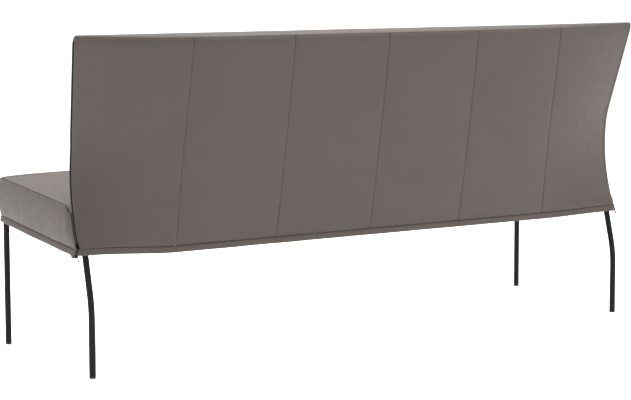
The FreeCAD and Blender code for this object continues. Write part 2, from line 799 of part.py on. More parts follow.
# Zips
def zip_band(half, x_low, x_high, top_z):
    """A band along the zip's path: straight in the hem, an arc up to the flare, then straight."""
    base_x = zip_half_width_x + x_low
    foot = polygon([Vector(base_x, zip_foot_y - half, back_hem_z),
                    Vector(base_x, zip_y(zip_bottom_z, half), zip_bottom_z),
                    Vector(base_x, zip_y(zip_bottom_z, -half), zip_bottom_z),
                    Vector(base_x, zip_foot_y + half, back_hem_z)])
    middle = (zip_bottom_z + zip_flare_start_z) / 2
    edges = []
    for outward, heights in ((half, (zip_bottom_z, middle, zip_flare_start_z)),
                             (-half, (zip_flare_start_z, middle, zip_bottom_z))):
        a, b, c = [Vector(base_x, zip_y(z, outward), z) for z in heights]
        edges.append(Part.Arc(a, b, c).toShape())
    edges.append(line(edges[0].Vertexes[1].Point, edges[1].Vertexes[0].Point))
    edges.append(line(edges[1].Vertexes[1].Point, edges[0].Vertexes[0].Point))
    push = Vector(x_high - x_low, 0, 0)
    lower = prism(Part.Wire(Part.__sortEdges__(edges)), push).fuse(prism(foot, push))
    wires = []
    for z in (zip_flare_start_z, (zip_flare_start_z + zip_arc_top_z) / 2, zip_arc_top_z, top_z):
        near = zip_x(z) + x_low
        far = zip_x(z) + x_high
        fore_y = zip_y(z, half)
        aft_y = zip_y(z, -half)
        wires.append(polygon([Vector(near, fore_y, z), Vector(far, fore_y, z),
                              Vector(far, aft_y, z), Vector(near, aft_y, z)]))
    return lower.fuse(Part.makeLoft(wires, True, True)).removeSplitter()


def ring_sector(inner_radius, outer_radius, low_angle, high_angle, x_low, x_high):
    """A piece of the zip arc's ring, from low_angle to high_angle above the arc's waist."""
    def at(radius, angle):
        y = zip_centre_y - radius * math.cos(angle)
        return Vector(x_low, y, zip_waist_z + radius * math.sin(angle))

    middle = (low_angle + high_angle) / 2
    outer = [at(outer_radius, angle) for angle in (low_angle, middle, high_angle)]
    inner = [at(inner_radius, angle) for angle in (high_angle, middle, low_angle)]
    edges = [Part.Arc(*outer).toShape(), line(outer[2], inner[0]),
             Part.Arc(*inner).toShape(), line(inner[2], outer[0])]
    return prism(Part.Wire(edges), Vector(x_high - x_low, 0, 0))


def make_zips():
    face_x = zip_half_width_x
    tape_x = face_x - play
    chain_x = tape_x + zip_chain_proud
    top_z = overall_height - zip_top_drop - panel_top_drop
    tape = zip_band(zip_tape_half - play, -play - zip_tape_thickness, -play, top_z)
    chain = zip_band(zip_chain_half, -play, -play + zip_chain_proud, top_z)
    zip_strip = tape.fuse(chain).removeSplitter()

    angle = math.asin((slider_rest_z - zip_waist_z) / zip_radius)
    half_angle = slider_length / 2 / zip_radius
    plate_x = chain_x + slider_gap
    outer_x = plate_x + slider_plate
    body = ring_sector(zip_radius - slider_half, zip_radius + slider_half, angle - half_angle,
                       angle + half_angle, tape_x + slider_gap, outer_x)
    channel_half = zip_chain_half + slider_gap
    channel = ring_sector(zip_radius - channel_half, zip_radius + channel_half, angle - 2 * half_angle,
                          angle + 2 * half_angle, tape_x, plate_x)
    lug_half = lug_length / 2 / zip_radius
    lug = ring_sector(zip_radius - lug_width / 2, zip_radius + lug_width / 2, angle - lug_half,
                      angle + lug_half, outer_x - slider_plate / 2, outer_x + lug_height)
    radial = Vector(0, -math.cos(angle), math.sin(angle))
    down = Vector(0, -math.sin(angle), -math.cos(angle))
    pin_x = outer_x + lug_height / 2
    centre = Vector(pin_x, zip_centre_y, zip_waist_z) + radial * zip_radius
    bore = cylinder(pin_radius + pin_clearance, centre - radial * lug_width, centre + radial * lug_width)
    slider = body.cut(channel).fuse(lug).removeSplitter().cut(bore)

    ear_near = lug_width / 2 + play
    ear_far = pull_width / 2 + pull_thickness
    pin = cylinder(pin_radius, centre - radial * ear_far, centre + radial * ear_far)

    def slab(radial_from, radial_to, down_from, down_to, thick):
        corner = centre + radial * radial_from + down * down_from - Vector(thick / 2, 0, 0)
        reach = radial * (radial_to - radial_from)
        fall = down * (down_to - down_from)
        wire = polygon([corner, corner + reach, corner + reach + fall, corner + fall])
        return prism(wire, Vector(thick, 0, 0))

    clear = lug_length / 2 + 2 * play
    ears = slab(ear_near, ear_far, -pull_thickness, clear + pull_thickness, 2 * pin_radius)
    ears = ears.fuse(slab(-ear_far, -ear_near, -pull_thickness, clear + pull_thickness, 2 * pin_radius))
    tab = slab(-ear_far, ear_far, clear, pull_length, pull_thickness)
    pull = tab.fuse(ears).fuse(pin).removeSplitter()
    for name, side in sides.items():
        for node, shape in (("zip_", zip_strip), ("zip_slider_", slider), ("zip_pull_", pull)):
            nodes[node + name] = shape.copy() if side > 0 else mirrored(shape)


def main():
    os.makedirs("parts", exist_ok=True)
    shanks = make_base()
    boards = make_seat_frame()
    make_springs()
    make_seat_soft_parts()
    seat_space = seat_place(seat_form(-play))
    make_back_covers(seat_space)
    boards.update(make_back_frame())
    make_back_filling(seat_space)
    fixings = make_brackets()
    for name, board in boards.items():
        nodes[name] = board.cut(shanks).cut(fixings)
    make_zips()
    for name, shape in nodes.items():
        solids = shape.Solids
        whole = solids[0] if len(solids) == 1 else Part.makeCompound(solids)
        whole.exportStep("parts/" + name + ".step")


main()
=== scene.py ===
import json
import math

import bmesh
import bpy
import numpy as np
from mathutils import Matrix, Vector, noise


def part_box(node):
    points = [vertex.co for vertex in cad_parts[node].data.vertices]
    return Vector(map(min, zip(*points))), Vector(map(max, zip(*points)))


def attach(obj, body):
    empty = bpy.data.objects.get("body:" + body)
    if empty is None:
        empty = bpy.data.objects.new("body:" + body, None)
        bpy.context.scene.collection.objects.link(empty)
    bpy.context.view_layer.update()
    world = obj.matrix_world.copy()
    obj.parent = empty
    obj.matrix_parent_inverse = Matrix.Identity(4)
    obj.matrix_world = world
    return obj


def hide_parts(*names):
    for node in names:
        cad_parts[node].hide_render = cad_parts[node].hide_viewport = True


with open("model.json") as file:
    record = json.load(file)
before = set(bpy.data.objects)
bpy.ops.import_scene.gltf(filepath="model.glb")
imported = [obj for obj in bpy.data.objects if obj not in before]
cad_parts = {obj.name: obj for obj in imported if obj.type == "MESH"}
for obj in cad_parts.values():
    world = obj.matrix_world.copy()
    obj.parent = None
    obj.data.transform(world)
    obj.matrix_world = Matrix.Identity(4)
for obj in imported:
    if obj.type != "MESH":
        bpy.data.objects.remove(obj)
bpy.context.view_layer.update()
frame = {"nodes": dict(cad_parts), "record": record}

# Sizes of the sofa, in metres, as its solids have them
half_length = 0.915
crest_z = 0.890
seat_tilt = math.radians(4.2)
tilt_sin = math.sin(seat_tilt)
tilt_cos = math.cos(seat_tilt)
seat_front_y = -0.305
seat_bottom_z = 0.349
seat_nose = 0.017
seat_height = 0.129
seat_crown = 0.008
end_droop = 0.0065
end_droop_reach = 0.090
seat_edge_crown = 0.0015
seat_front_half = 0.908
seat_rear_half = 0.892
seat_side_bulge = 0.003
seat_corner_radius = 0.030
seat_nose_radius = 0.028
seat_run = 0.522
nose_height_share = 0.55
brow_share = 0.6
turn_share = 0.29
seat_hem_height = 0.019

back_hem_z = 0.306
back_foot_y = 0.215
back_lean = 0.105
back_belly = 0.004
back_front_y = 0.138
back_front_lean = 0.084
back_front_start_z = 0.500
back_front_power = 1.35
crest_radius = 0.028
crest_end_share = 0.25
crest_front_share = 0.5
crest_tape_share = 0.1
sweep_start = 0.450
end_round = 0.018
end_wrap = 0.014
front_roll = 0.048
wrap_bulge_share = 0.72
roll_bulge_share = 0.30
pitch_bottom = 0.3055
pitch_top = 0.3001
panel_count = 6
panel_gap = 0.0003
panel_top_z = 0.878
back_hem_height = 0.017

zip_radius = 0.440
zip_waist_z = 0.522
zip_centre_y = 0.607
zip_lean = math.radians(16.5)
zip_half_x = 0.891
zip_flare_z = 0.600
zip_top_z = 0.873
zip_before_rear = 0.012
zip_shown_low = 0.0055
zip_shown_high = 0.0040
zip_shown_from_z = 0.380
zip_shown_to_z = 0.600
tape_thickness = 0.0007
tape_under = 0.0015
tape_sink = 0.0027
tape_inside_share = 0.9
tooth_pitch = 0.0021
tooth = Vector((0.0008, 0.0028, 0.0013))
tooth_tip_share = 0.72
tooth_root_share = 0.25
tooth_end = 0.002
slope_step = 0.001
play = 0.0003

# How the cover lies: its thickness, crowns, seams and small unevenness
cover_thickness = 0.0025
panel_crown = 0.0020
front_crown = 0.0030
seam_depth = 0.0017
seam_reach = 0.0028
groove_depth = 0.0040
groove_reach = 0.0018
corner_drop = 0.019
corner_drop_from_y = 0.136
corner_drop_to_y = 0.168
corner_drop_width = 0.024
crease_depth = 0.0030
crease_reach = 0.0090
tuck_under = 0.0030
tuck_depth = 0.0022
tuck_reach = 0.0020
crown_low_reach = 0.05
crown_high_reach = 0.03
calm_side_reach = 0.03
calm_low_reach = 0.04
seat_calm_reach = 0.03
ripple_height = 0.0004
ripple_size = 0.22
ripple_seed = 1
wrinkle_height = 0.00025
wrinkle_size = 0.045
wrinkle_seed = 2
noise_shift = (1.7, -0.9, 2.3)
side_ripple_share = 1.2

# Hem bands
hem_flare = 0.0022
hem_wave = 0.0016
hem_wave_size = 0.10
hem_wave_top_share = 0.3
rear_hem_seed = 5
seat_hem_seed = 7
hem_crease_depth = 0.0024
hem_crease_reach = 0.00315
hem_edge_depth = 0.0006
hem_edge_reach = 0.0015
hem_seam_depth = 0.0012
hem_seam_reach = 0.0010
seat_hem_flare = 0.00286
hem_lift = {"left": 0.006, "right": 0.0145}
hem_lift_start = 0.600
hem_lift_reach = 0.280
hem_foot_flare = 0.009
hem_top_flare = 0.004
hem_flare_reach = 0.030
seat_hem_lift = 0.0035
seat_hem_crowding = 1.15
hem_corner_rounds = 12
foot_arc_share = 0.4
hem_corner_before = 0.004
hem_corner_reach = 0.03
hem_corner_width = 0.06

# Ends and edges of the seat's covers
top_end_reach = 0.036
top_end_start = 0.836
top_end_from = 0.12
top_before_back = 0.008
side_foot_power = 1.5
side_rear_power = 6
side_edge_share = 0.99
side_crown = 0.0025
side_seam_share = 0.6
fold_depth = 0.0022
fold_left_share = 0.6
fold_s = 0.475
fold_n = 0.09
fold_lean = 0.5
fold_width = 0.008
fold_from_n = 0.045
fold_fade = 0.05

# Front cover of the back
foot_z_of_front = 0.44
front_foot_under = 0.004
front_foot_run = 0.03
front_cap_crown = 0.0012
front_crown_from_z = 0.45
front_crown_fade = 0.10
front_crown_to_z = 0.90
front_crown_top_fade = 0.12
front_face_depth = 0.01

# The corner tips, and how the covers and zips are drawn to them
tip_place = {"left": (0.8985, 0.206, 0.3085), "right": (0.9005, 0.206, 0.3132)}
seat_tip_from_tip = (0, -0.0030, 0)
rear_tip_from_tip = (-0.006, 0.0105, 0.0075)
zip_turn_share = 0.8
zip_draw_reach = 0.014
tip_tape_more = 0.0055
tip_tape_reach = 0.034
ear_power = 1.5
rear_ear_reach = 0.017
seat_ear_reach = 0.036

# Pieces under the covers
dust_from_s = 0.006
dust_run = 0.497
dust_n = 0.0116
dust_from_side = 0.006
dust_sag = 0.0012
dust_thickness = 0.0006
strap_count = 4
strap_first_z = 0.450
strap_pitch = 0.090
strap_width = 0.050
strap_thickness = 0.0013
strap_behind_front = 0.0243
strap_wave = 0.0004
strap_waves = 9
inside_reach = 0.1
soft_shrink = 0.002
pad_depth = 0.0065
pad_thickness = 0.004
pad_from_edge = 0.010
seat_foam_voxel = 0.009
back_foam_voxel = 0.007
felt_voxel = 0.0025
smooth_factor = 0.5
smooth_rounds = 3

# Places inside the seat and the back, from which the covers face outwards
seat_middle = Vector((0, -0.05, 0.40))
seat_middle_share = (0.93, 0.8)
seat_middle_fall = 0.07
back_middle_share = 0.95
back_middle_drop = 0.02

# How finely the pieces are meshed
weld_reach = 0.00005
sliver_reach = 0.00002
straight_bend = 1e-9
share_digits = 6
near_edge_shares = np.array([0.12, 0.3, 0.55, 0.9, 1.4, 2.1, 3.0])
near_seam = np.array([0, 0.0006, 0.0014, 0.0025, 0.004])
profile_counts = (18, 12, 70)
panel_across_count = 44
panel_up_count = 80
panel_round_count = 9
hem_across_count = 261
hem_up_count = 11
front_across_count = 121
front_roll_count = 13
front_up_count = 60
crest_count = 9
cap_count = 7
seat_across_count = 150
side_up_count = 26
seat_hem_run_count = 100
foot_count = 60
zip_up_count = 260
zip_across_count = 17
dust_across_count = 61
dust_along_count = 31
strap_up_count = 6
strap_across_count = 81
pad_up_count = 40
pad_run_count = 60
border_up_count = 12

# The studio: the pale floor, and each light's place, target, width and power in watts
floor_width = 60.0
floor_glow = 0.48
backdrop_glow = 1.06
lights = {
    "overhead": ((-0.6, 0.2, 3.2), (0, 0, 0.4), 3.0, 124.0),
    "side": ((-3.6, 2.4, 1.6), (-0.4, 0.2, 0.6), 2.0, 20.0),
    "front": ((1.5, -2.3, 3.3), (0.2, 0.0, 0.45), 2.4, 104.0),
}

# The photograph's camera: its place, turn and shift come from points on the sofa seen there
camera_place = Vector((2.7461, 4.5255, 1.0691))
camera_turn = 0.5365
camera_pitch = 0.1029
camera_roll = 0.0025
focal_pixels = 1819.8
centre_pixels = (313.76, 151.94)
picture_pixels = (631, 400)
sensor_width = 36.0

crest_start_z = crest_z - crest_radius
zip_arc_top_z = zip_waist_z + zip_radius * math.sin(zip_lean)
sides = {"left": -1, "right": 1}


# Shape of the back
def zip_y(z):
    """The zip's arc and, over it, its straight upper stretch."""
    z = np.asarray(z, float)
    low = np.minimum(z, zip_arc_top_z)
    on_arc = zip_centre_y - np.sqrt(zip_radius ** 2 - (low - zip_waist_z) ** 2)
    return on_arc + np.maximum(z - zip_arc_top_z, 0) * math.tan(zip_lean)


def zip_line_y(z):
    """Where the zip's middle lies: on its arc, but always before the rear face."""
    return np.minimum(zip_y(z), rear_y(z) - zip_before_rear)


def zip_x(z):
    rise = np.clip((np.asarray(z, float) - zip_flare_z) / (crest_z - zip_flare_z), 0, 1)
    return zip_half_x + (half_length - zip_half_x) * rise


def rear_y(z):
    rise = (np.asarray(z, float) - back_hem_z) / (crest_start_z - back_hem_z)
    return back_foot_y + back_lean * rise + back_belly * 4 * rise * (1 - rise)


def front_y(z):
    run = crest_start_z - back_front_start_z
    rise = np.maximum(np.asarray(z, float) - back_front_start_z, 0) / run
    return back_front_y + back_front_lean * rise ** back_front_power


def pitch_x(z):
    rise = (z - back_hem_z) / (crest_z - back_hem_z)
    return pitch_bottom + (pitch_top - pitch_bottom) * rise


def zip_shown(z):
    """Half the width of the zip that shows between the covers."""
    rise = (np.asarray(z, float) - zip_shown_from_z) / (zip_shown_to_z - zip_shown_from_z)
    return zip_shown_low + (zip_shown_high - zip_shown_low) * smooth(rise)


def drawn_in(z):
    """How far the rounded crest has drawn in at a height."""
    climb = np.clip((np.asarray(z, float) - crest_start_z) / crest_radius, 0, 1)
    return crest_radius * (1 - np.sqrt(1 - climb ** 2))


def smooth(share):
    share = np.clip(share, 0, 1)
    return share * share * (3 - 2 * share)


def arc_points(start, middle, end, shares):
    """Points at shares along the arc through three points, in two dimensions."""
    a, b, c = (np.asarray(point, float) for point in (start, middle, end))
    doubled = 2 * (a[0] * (b[1] - c[1]) + b[0] * (c[1] - a[1]) + c[0] * (a[1] - b[1]))
    shares = np.asarray(shares, float)[:, None]
    if abs(doubled) < straight_bend:
        return a + (c - a) * shares
    squares = [a @ a, b @ b, c @ c]
    centre = np.array([
        (squares[0] * (b[1] - c[1]) + squares[1] * (c[1] - a[1]) + squares[2] * (a[1] - b[1])) / doubled,
        (squares[0] * (c[0] - b[0]) + squares[1] * (a[0] - c[0]) + squares[2] * (b[0] - a[0])) / doubled])
    angles = [math.atan2(*(point - centre)[::-1]) for point in (a, b, c)]
    whole = (angles[2] - angles[0]) % math.tau
    if (angles[1] - angles[0]) % math.tau > whole:
        whole -= math.tau
    turn = angles[0] + whole * shares
    return centre + np.linalg.norm(a - centre) * np.hstack([np.cos(turn), np.sin(turn)])


def back_ends(z):
    """Places of the back's level outline at a height, on its right end."""
    drawn = float(drawn_in(z))
    edge_x = float(zip_x(z)) - drawn * crest_end_share
    zip_at = float(zip_line_y(z))
    tape = float(zip_shown(z)) - drawn * crest_tape_share
    return {
        "edge_x": edge_x,
        "round_x": edge_x - end_round,
        "rear_y": float(rear_y(z)) - drawn,
        "corner_y": min(float(rear_y(z)), zip_at + end_wrap) - drawn * crest_end_share,
        "aft_y": zip_at + tape,
        "fore_y": zip_at - tape,
        "front_y": float(front_y(z)) + drawn * crest_front_share,
    }


def rear_sweep(x, end):
    """Y of the rear face at x, where it sweeps forward to its ends."""
    over = np.maximum(np.abs(x) - sweep_start, 0) / (end["round_x"] - sweep_start)
    return end["rear_y"] - (end["rear_y"] - end["corner_y"]) * over ** 2


def rear_round(end, side, shares):
    """The rear face's rounded end, from the sweep to the zip's tape."""
    wrap = (end["round_x"] + end_round * wrap_bulge_share,
            end["aft_y"] + (end["corner_y"] - end["aft_y"]) * wrap_bulge_share)
    points = arc_points((end["round_x"], end["corner_y"]), wrap, (end["edge_x"], end["aft_y"]), shares)
    return points * (side, 1)


def front_round(end, side, shares):
    """The front face's rounded end, from the flat face to the zip's tape."""
    roll = (end["edge_x"] - front_roll * roll_bulge_share,
            end["front_y"] + (end["fore_y"] - end["front_y"]) * roll_bulge_share)
    points = arc_points((end["edge_x"] - front_roll, end["front_y"]), roll,
                        (end["edge_x"], end["fore_y"]), shares)
    return points * (side, 1)


def hem_rise(x):
    """How far the hem band is drawn up towards the sofa's ends."""
    highest = np.where(np.asarray(x) > 0, hem_lift["right"], hem_lift["left"])
    return highest * smooth((np.abs(x) - hem_lift_start) / hem_lift_reach)


# Shape of the seat, in its own coordinates: s to the rear, n square to the seat
def seat_points(x, s, n):
    y = seat_front_y + s * tilt_cos + n * tilt_sin
    z = seat_bottom_z - s * tilt_sin + n * tilt_cos
    return np.stack(np.broadcast_arrays(x, y, z), -1)


def seat_coordinates(places):
    """The seat's own coordinates s and n of places."""
    y = places[:, 1] - seat_front_y
    z = places[:, 2] - seat_bottom_z
    return (y * tilt_cos - z * tilt_sin,
            y * tilt_sin + z * tilt_cos)


def groove(places, distance):
    """Draws the covers in at the seat's upper side edges, where two of them are sewn together."""
    depth = groove_depth * np.exp(-np.abs(distance) / groove_reach)
    return np.column_stack([-np.sign(places[:, 0]) * depth, np.zeros(len(places)), -depth])


def rear_corner_drop(y):
    """How far the seat's upper side edge is drawn down just in front of the zip."""
    return corner_drop * smooth((y - corner_drop_from_y) / (corner_drop_to_y - corner_drop_from_y))


def seat_lift(x):
    return seat_edge_crown + seat_crown * (1 - (x / seat_front_half) ** 2)


def seat_outline(x, counts):
    """The seat's profile at x from the foot of its front, over the brow, to the rear of its top."""
    high = seat_height
    brow = (-seat_nose * brow_share, high - seat_nose_radius)
    turn = (brow[0] + seat_nose_radius * turn_share, high - seat_nose_radius * turn_share)
    edge = (seat_nose_radius, high)
    parts = [((0, 0), (-seat_nose, high * nose_height_share), brow),
             (brow, turn, edge),
             (edge, ((seat_nose_radius + seat_run) / 2, high + seat_lift(x)), (seat_run, high))]
    rows = [arc_points(*part, np.linspace(0, 1, count)[1:]) for part, count in zip(parts, counts)]
    return np.vstack([[(0, 0)]] + rows)


def seat_half(s):
    """Half the seat's width at s, seen from above."""
    s = np.asarray(s, float)
    start = seat_corner_radius - seat_nose
    share = (s - start) / (seat_run - start)
    side = seat_front_half + (seat_rear_half - seat_front_half) * share
    side = side + seat_side_bulge * 4 * share * (1 - share)
    into = np.clip(start - s, 0, seat_corner_radius)
    corner = seat_front_half - seat_corner_radius + np.sqrt(seat_corner_radius ** 2 - into ** 2)
    return np.where(s < start, corner, side)


def seat_top_z(x, y):
    """Height of the seat's top at a place seen from above."""
    s = (y - seat_front_y - seat_height * tilt_sin) / tilt_cos
    share = np.clip((s - seat_nose_radius) / (seat_run - seat_nose_radius), 0, 1)
    n = seat_height + seat_lift(x) * 4 * share * (1 - share)
    return seat_bottom_z - s * tilt_sin + n * tilt_cos


# Mesh makers
def added(name, data):
    """A new object with this data, linked to the scene."""
    item = bpy.data.objects.new(name, data)
    bpy.context.scene.collection.objects.link(item)
    return item


def mesh_of(work, name):
    mesh = bpy.data.meshes.new(name)
    work.to_mesh(mesh)
    work.free()
    return mesh


def grid_of(point_at, up, across):
    """Rows of points: a row for each value in up, with a point for each value in across."""
    return [[point_at(share, place) for place in across] for share in up]


def grid_faces(rows, columns, start):
    faces = []
    for row in range(rows - 1):
        for column in range(columns - 1):
            corner = start + row * columns + column
            faces.append((corner, corner + 1, corner + columns + 1, corner + columns))
    return faces


def skin(name, grids, inside, fields=(), thickness=cover_thickness):
    """A smooth skin through grids that share edges, pushed out by its fields and thickened inwards."""
    points = []
    faces = []
    for grid in grids:
        grid = np.asarray(grid, float)
        faces += grid_faces(grid.shape[0], grid.shape[1], len(points))
        points += grid.reshape(-1, 3).tolist()
    work = bmesh.new()
    verts = [work.verts.new(point) for point in points]
    for face in faces:
        work.faces.new([verts[index] for index in face])
    bmesh.ops.remove_doubles(work, verts=work.verts, dist=weld_reach)
    bmesh.ops.dissolve_degenerate(work, edges=work.edges, dist=sliver_reach)
    bmesh.ops.recalc_face_normals(work, faces=work.faces)
    outward = sum(face.normal.dot(face.calc_center_median() - inside(face.calc_center_median()))
                  * face.calc_area() for face in work.faces)
    if outward < 0:
        bmesh.ops.reverse_faces(work, faces=work.faces)
    mesh = mesh_of(work, name)
    for field in fields:
        push_out(mesh, field)
    mesh.shade_smooth()
    piece = added(name, mesh)
    if thickness:
        solid = piece.modifiers.new("thickness", "SOLIDIFY")
        solid.thickness = thickness
        solid.offset = -1
        make_real(piece)
    return piece


def push_out(mesh, field):
    """Moves each vertex along its normal by the field's value there, or by a vector that it gives."""
    count = len(mesh.vertices)
    places = np.empty(count * 3)
    mesh.vertices.foreach_get("co", places)
    places = places.reshape(-1, 3)
    normals = np.empty(count * 3)
    mesh.vertices.foreach_get("normal", normals)
    moves = field(places)
    if moves.ndim == 1:
        moves = normals.reshape(-1, 3) * moves[:, None]
    mesh.vertices.foreach_set("co", (places + moves).ravel())
    mesh.update()


def make_real(piece):
    """Applies the piece's modifiers."""
    bpy.context.view_layer.update()
    graph = bpy.context.evaluated_depsgraph_get()
    mesh = bpy.data.meshes.new_from_object(piece.evaluated_get(graph))
    piece.modifiers.clear()
    piece.data = mesh
    return piece


def finish_piece(piece, slot, replaced=(), body="root", material=None):
    """Gives a piece its material, by its slot if no other is named, and its place in the frame."""
    piece.data.materials.clear()
    piece.data.materials.append(material or finishes[slot])
    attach(piece, body)
    if replaced:
        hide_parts(*replaced)
    return piece


def close_to_ends(count, length, reach):
    """Shares from 0 to 1, evenly spaced, with more of them close to both ends."""
    close = reach / length * near_edge_shares
    shares = np.concatenate([np.linspace(0, 1, count), close, 1 - close])
    return np.unique(np.clip(shares, 0, 1).round(share_digits))


# Unevenness of the cover
def slow_noise(places, size, seed):
    shift = Vector([seed * share for share in noise_shift])
    return np.array([noise.noise(Vector(place) / size + shift) for place in places])


def ripples(places):
    return (ripple_height * slow_noise(places, ripple_size, ripple_seed)
            + wrinkle_height * slow_noise(places, wrinkle_size, wrinkle_seed))


def seam(distance, depth=seam_depth, reach=seam_reach):
    return -depth * np.exp(-np.abs(distance) / reach)


# Back covers
def panel_ends(z, low):
    """The back's outline at a height, flared out towards the hem's top, which is at the height low."""
    end = back_ends(z)
    end["corner_y"] += hem_top_flare * float(smooth(1 - (z - low) / hem_flare_reach))
    return end


def panel_low(x):
    return back_hem_z + back_hem_height - tuck_under + float(hem_rise(x))


def panel_span(number, z, low):
    """X of a panel's left and right edge at a height, without its rounded end."""
    first = number - 1 - panel_count / 2
    end = panel_ends(z, low)
    left = first * pitch_x(z) + panel_gap if number > 1 else -end["round_x"]
    right = (first + 1) * pitch_x(z) - panel_gap if number < panel_count else end["round_x"]
    return left, right, end


def panel_rows(number):
    """Levels of a rear panel as rows of points from its left seam or zip to its right one."""
    across = close_to_ends(panel_across_count, pitch_bottom, seam_reach)
    up = close_to_ends(panel_up_count, panel_top_z - back_hem_z, seam_reach)
    ending = np.linspace(0, 1, panel_round_count)[1:]
    left, right, end = panel_span(number, back_hem_z, back_hem_z)
    lows = [panel_low(left + (right - left) * place) for place in across]
    rows = []
    for share in up:
        points = []
        for place, low in zip(across, lows):
            z = low + (panel_top_z - low) * share
            left, right, end = panel_span(number, z, low)
            x = left + (right - left) * place
            points.append((x, rear_sweep(x, end), z))
        if number == 1:
            z = points[0][2]
            points = [(*p, z) for p in rear_round(panel_ends(z, lows[0]), -1, ending[::-1])] + points
        if number == panel_count:
            z = points[-1][2]
            points += [(*p, z) for p in rear_round(panel_ends(z, lows[-1]), 1, ending)]
        rows.append(points)
    return np.array(rows)


def panel_field(number):
    middle = panel_count / 2

    def field(places):
        x, y, z = places.T
        pitch = pitch_x(z)
        left = x - (number - 1 - middle) * pitch
        right = (number - middle) * pitch - x
        zip_gap = np.hypot(np.abs(x) - zip_x(z), y - zip_line_y(z) - zip_shown(z))
        if number == 1:
            left = zip_gap
        if number == panel_count:
            right = zip_gap
        low = z - back_hem_z - back_hem_height - hem_rise(x)
        high = panel_top_z - z
        width = left + right
        crown = panel_crown * 4 * left * right / width ** 2
        crown = crown * smooth(low / crown_low_reach) * smooth(high / crown_high_reach)
        calm = smooth(np.minimum(left, right) / calm_side_reach) * smooth(low / calm_low_reach)
        lift = crown + ripples(places) * calm
        lift = lift + seam(left) + seam(right)
        lift = lift + seam(low, crease_depth, crease_reach)
        lift = lift + seam(np.maximum(low + tuck_under, 0), tuck_depth, tuck_reach)
        return lift
    return field


def behind(place):
    """A point inside the back, level with a place on its covers."""
    z = min(place.z, crest_start_z)
    middle_y = (float(front_y(z)) + float(rear_y(z))) / 2
    return Vector((place.x * back_middle_share, middle_y, z - back_middle_drop))


def make_rear_panels():
    for number in range(1, panel_count + 1):
        name = "rear_panel_%d" % number
        piece = skin(name + "_skin", [panel_rows(number)], behind, [panel_field(number)])
        finish_piece(piece, "cover", [name])


def ear_weight(pull, low):
    """How strongly a place on a hem band is drawn to the corner's tip: wholly at its lowest corner."""
    return smooth(pull) ** ear_power * np.clip(low, 0, 1) ** 2


def ear_moves(places, low, corners, reach, from_tip):
    """Draws a hem band's lowest corners out to the sofa's corner tips, or to places near them."""
    x, y = places.T[:2]
    moves = np.zeros(places.shape)
    for name, side in sides.items():
        tip = (np.array(tip_place[name]) + from_tip) * (side, 1, 1)
        away = np.hypot(x - corners[side][0], y - corners[side][1])
        weight = ear_weight(1 - away / reach, low) * (x * side > 0)
        moves += weight[:, None] * (tip - corners[side])
    return moves


def hem_lie(places, low, height, flare, seed):
    """The flare, slack waves and drawn-in edges of a hem band, where low is 1 at its foot."""
    loose = hem_wave_top_share + (1 - hem_wave_top_share) * low
    lift = flare * low + hem_wave * slow_noise(places, hem_wave_size, seed) * loose
    lift = lift + seam(low * height, hem_crease_depth, hem_crease_reach)
    return lift + seam((1 - low) * height, hem_edge_depth, hem_edge_reach)


def hem_across(round_x):
    """Places along the hem as shares of its half length, closer together at the seams."""
    half_count = panel_count // 2
    seams = [number * pitch_bottom for number in range(1 - half_count, half_count)]
    near = [place + sign * step for place in seams for step in near_seam for sign in (-1, 1)]
    even = np.linspace(-1, 1, hem_across_count)
    return np.unique(np.concatenate([even, np.array(near) / round_x]).round(share_digits))


def make_rear_hem():
    round_x = back_ends(back_hem_z)["round_x"]
    across = hem_across(round_x)
    ending = np.linspace(0, 1, hem_up_count)[1:]
    rows = []
    for share in np.linspace(0, 1, hem_up_count):
        flare = hem_foot_flare + (hem_top_flare - hem_foot_flare) * share
        row = []
        for place in across:
            x = place * round_x
            z = back_hem_z + float(hem_rise(x)) + (back_hem_height - play) * share
            end = back_ends(z)
            end["corner_y"] += flare
            row.append((x, float(rear_sweep(x, end)), z))
        for side in (-1, 1):
            z = row[0 if side < 0 else -1][2]
            end = back_ends(z)
            end["corner_y"] += flare
            ends = [(*p, z) for p in rear_round(end, side, ending)]
            row = ends[::-1] + row if side < 0 else row + ends
        rows.append(row)
    corners = {side: np.array(rows[0][0 if side < 0 else -1]) for side in (-1, 1)}
    last_seam = pitch_bottom * (panel_count - 1) / 2

    def lowness(places):
        return 1 - (places[:, 2] - back_hem_z - hem_rise(places[:, 0])) / back_hem_height

    def field(places):
        x = places[:, 0]
        to_seam = np.abs(x - np.round(x / pitch_bottom) * pitch_bottom)
        seams = seam(to_seam, hem_seam_depth, hem_seam_reach) * (np.abs(x) < last_seam)
        return seams + hem_lie(places, lowness(places), back_hem_height, hem_flare, rear_hem_seed)

    def ears(places):
        return ear_moves(places, lowness(places), corners, rear_ear_reach, rear_tip_from_tip)

    piece = skin("rear_hem_band", [rows], behind, [field, ears])
    finish_piece(piece, "cover", ["rear_hem"])


def front_row(z_of, columns, roll):
    """The front outline of the back from its left zip to its right one, at the heights that z_of gives."""
    points = []
    for side in (-1, 1):
        run = []
        for share in roll:
            z = z_of(side * (half_length - front_roll * (1 - share)), share)
            end = back_ends(z)
            run.append((*front_round(end, side, [share])[0], z))
        if side < 0:
            points += run[::-1]
            for place in columns[1:-1]:
                z = z_of(place, 0)
                end = back_ends(z)
                reach = end["edge_x"] - front_roll
                points.append((place * reach, end["front_y"], z))
        else:
            points += run
    return points


def front_level(share):
    """Heights of one level of the front cover, at a share of the way from the seat to the crest."""
    def height(x, roll_share):
        # On the flat face x is a share of its half width, and on the rounded ends it is in metres
        reach = x if roll_share else x * (half_length - front_roll)
        y = back_front_y + roll_share * front_foot_run
        low = float(seat_top_z(min(abs(reach), seat_front_half), y)) - front_foot_under
        return low + (crest_start_z - low) * share
    return height


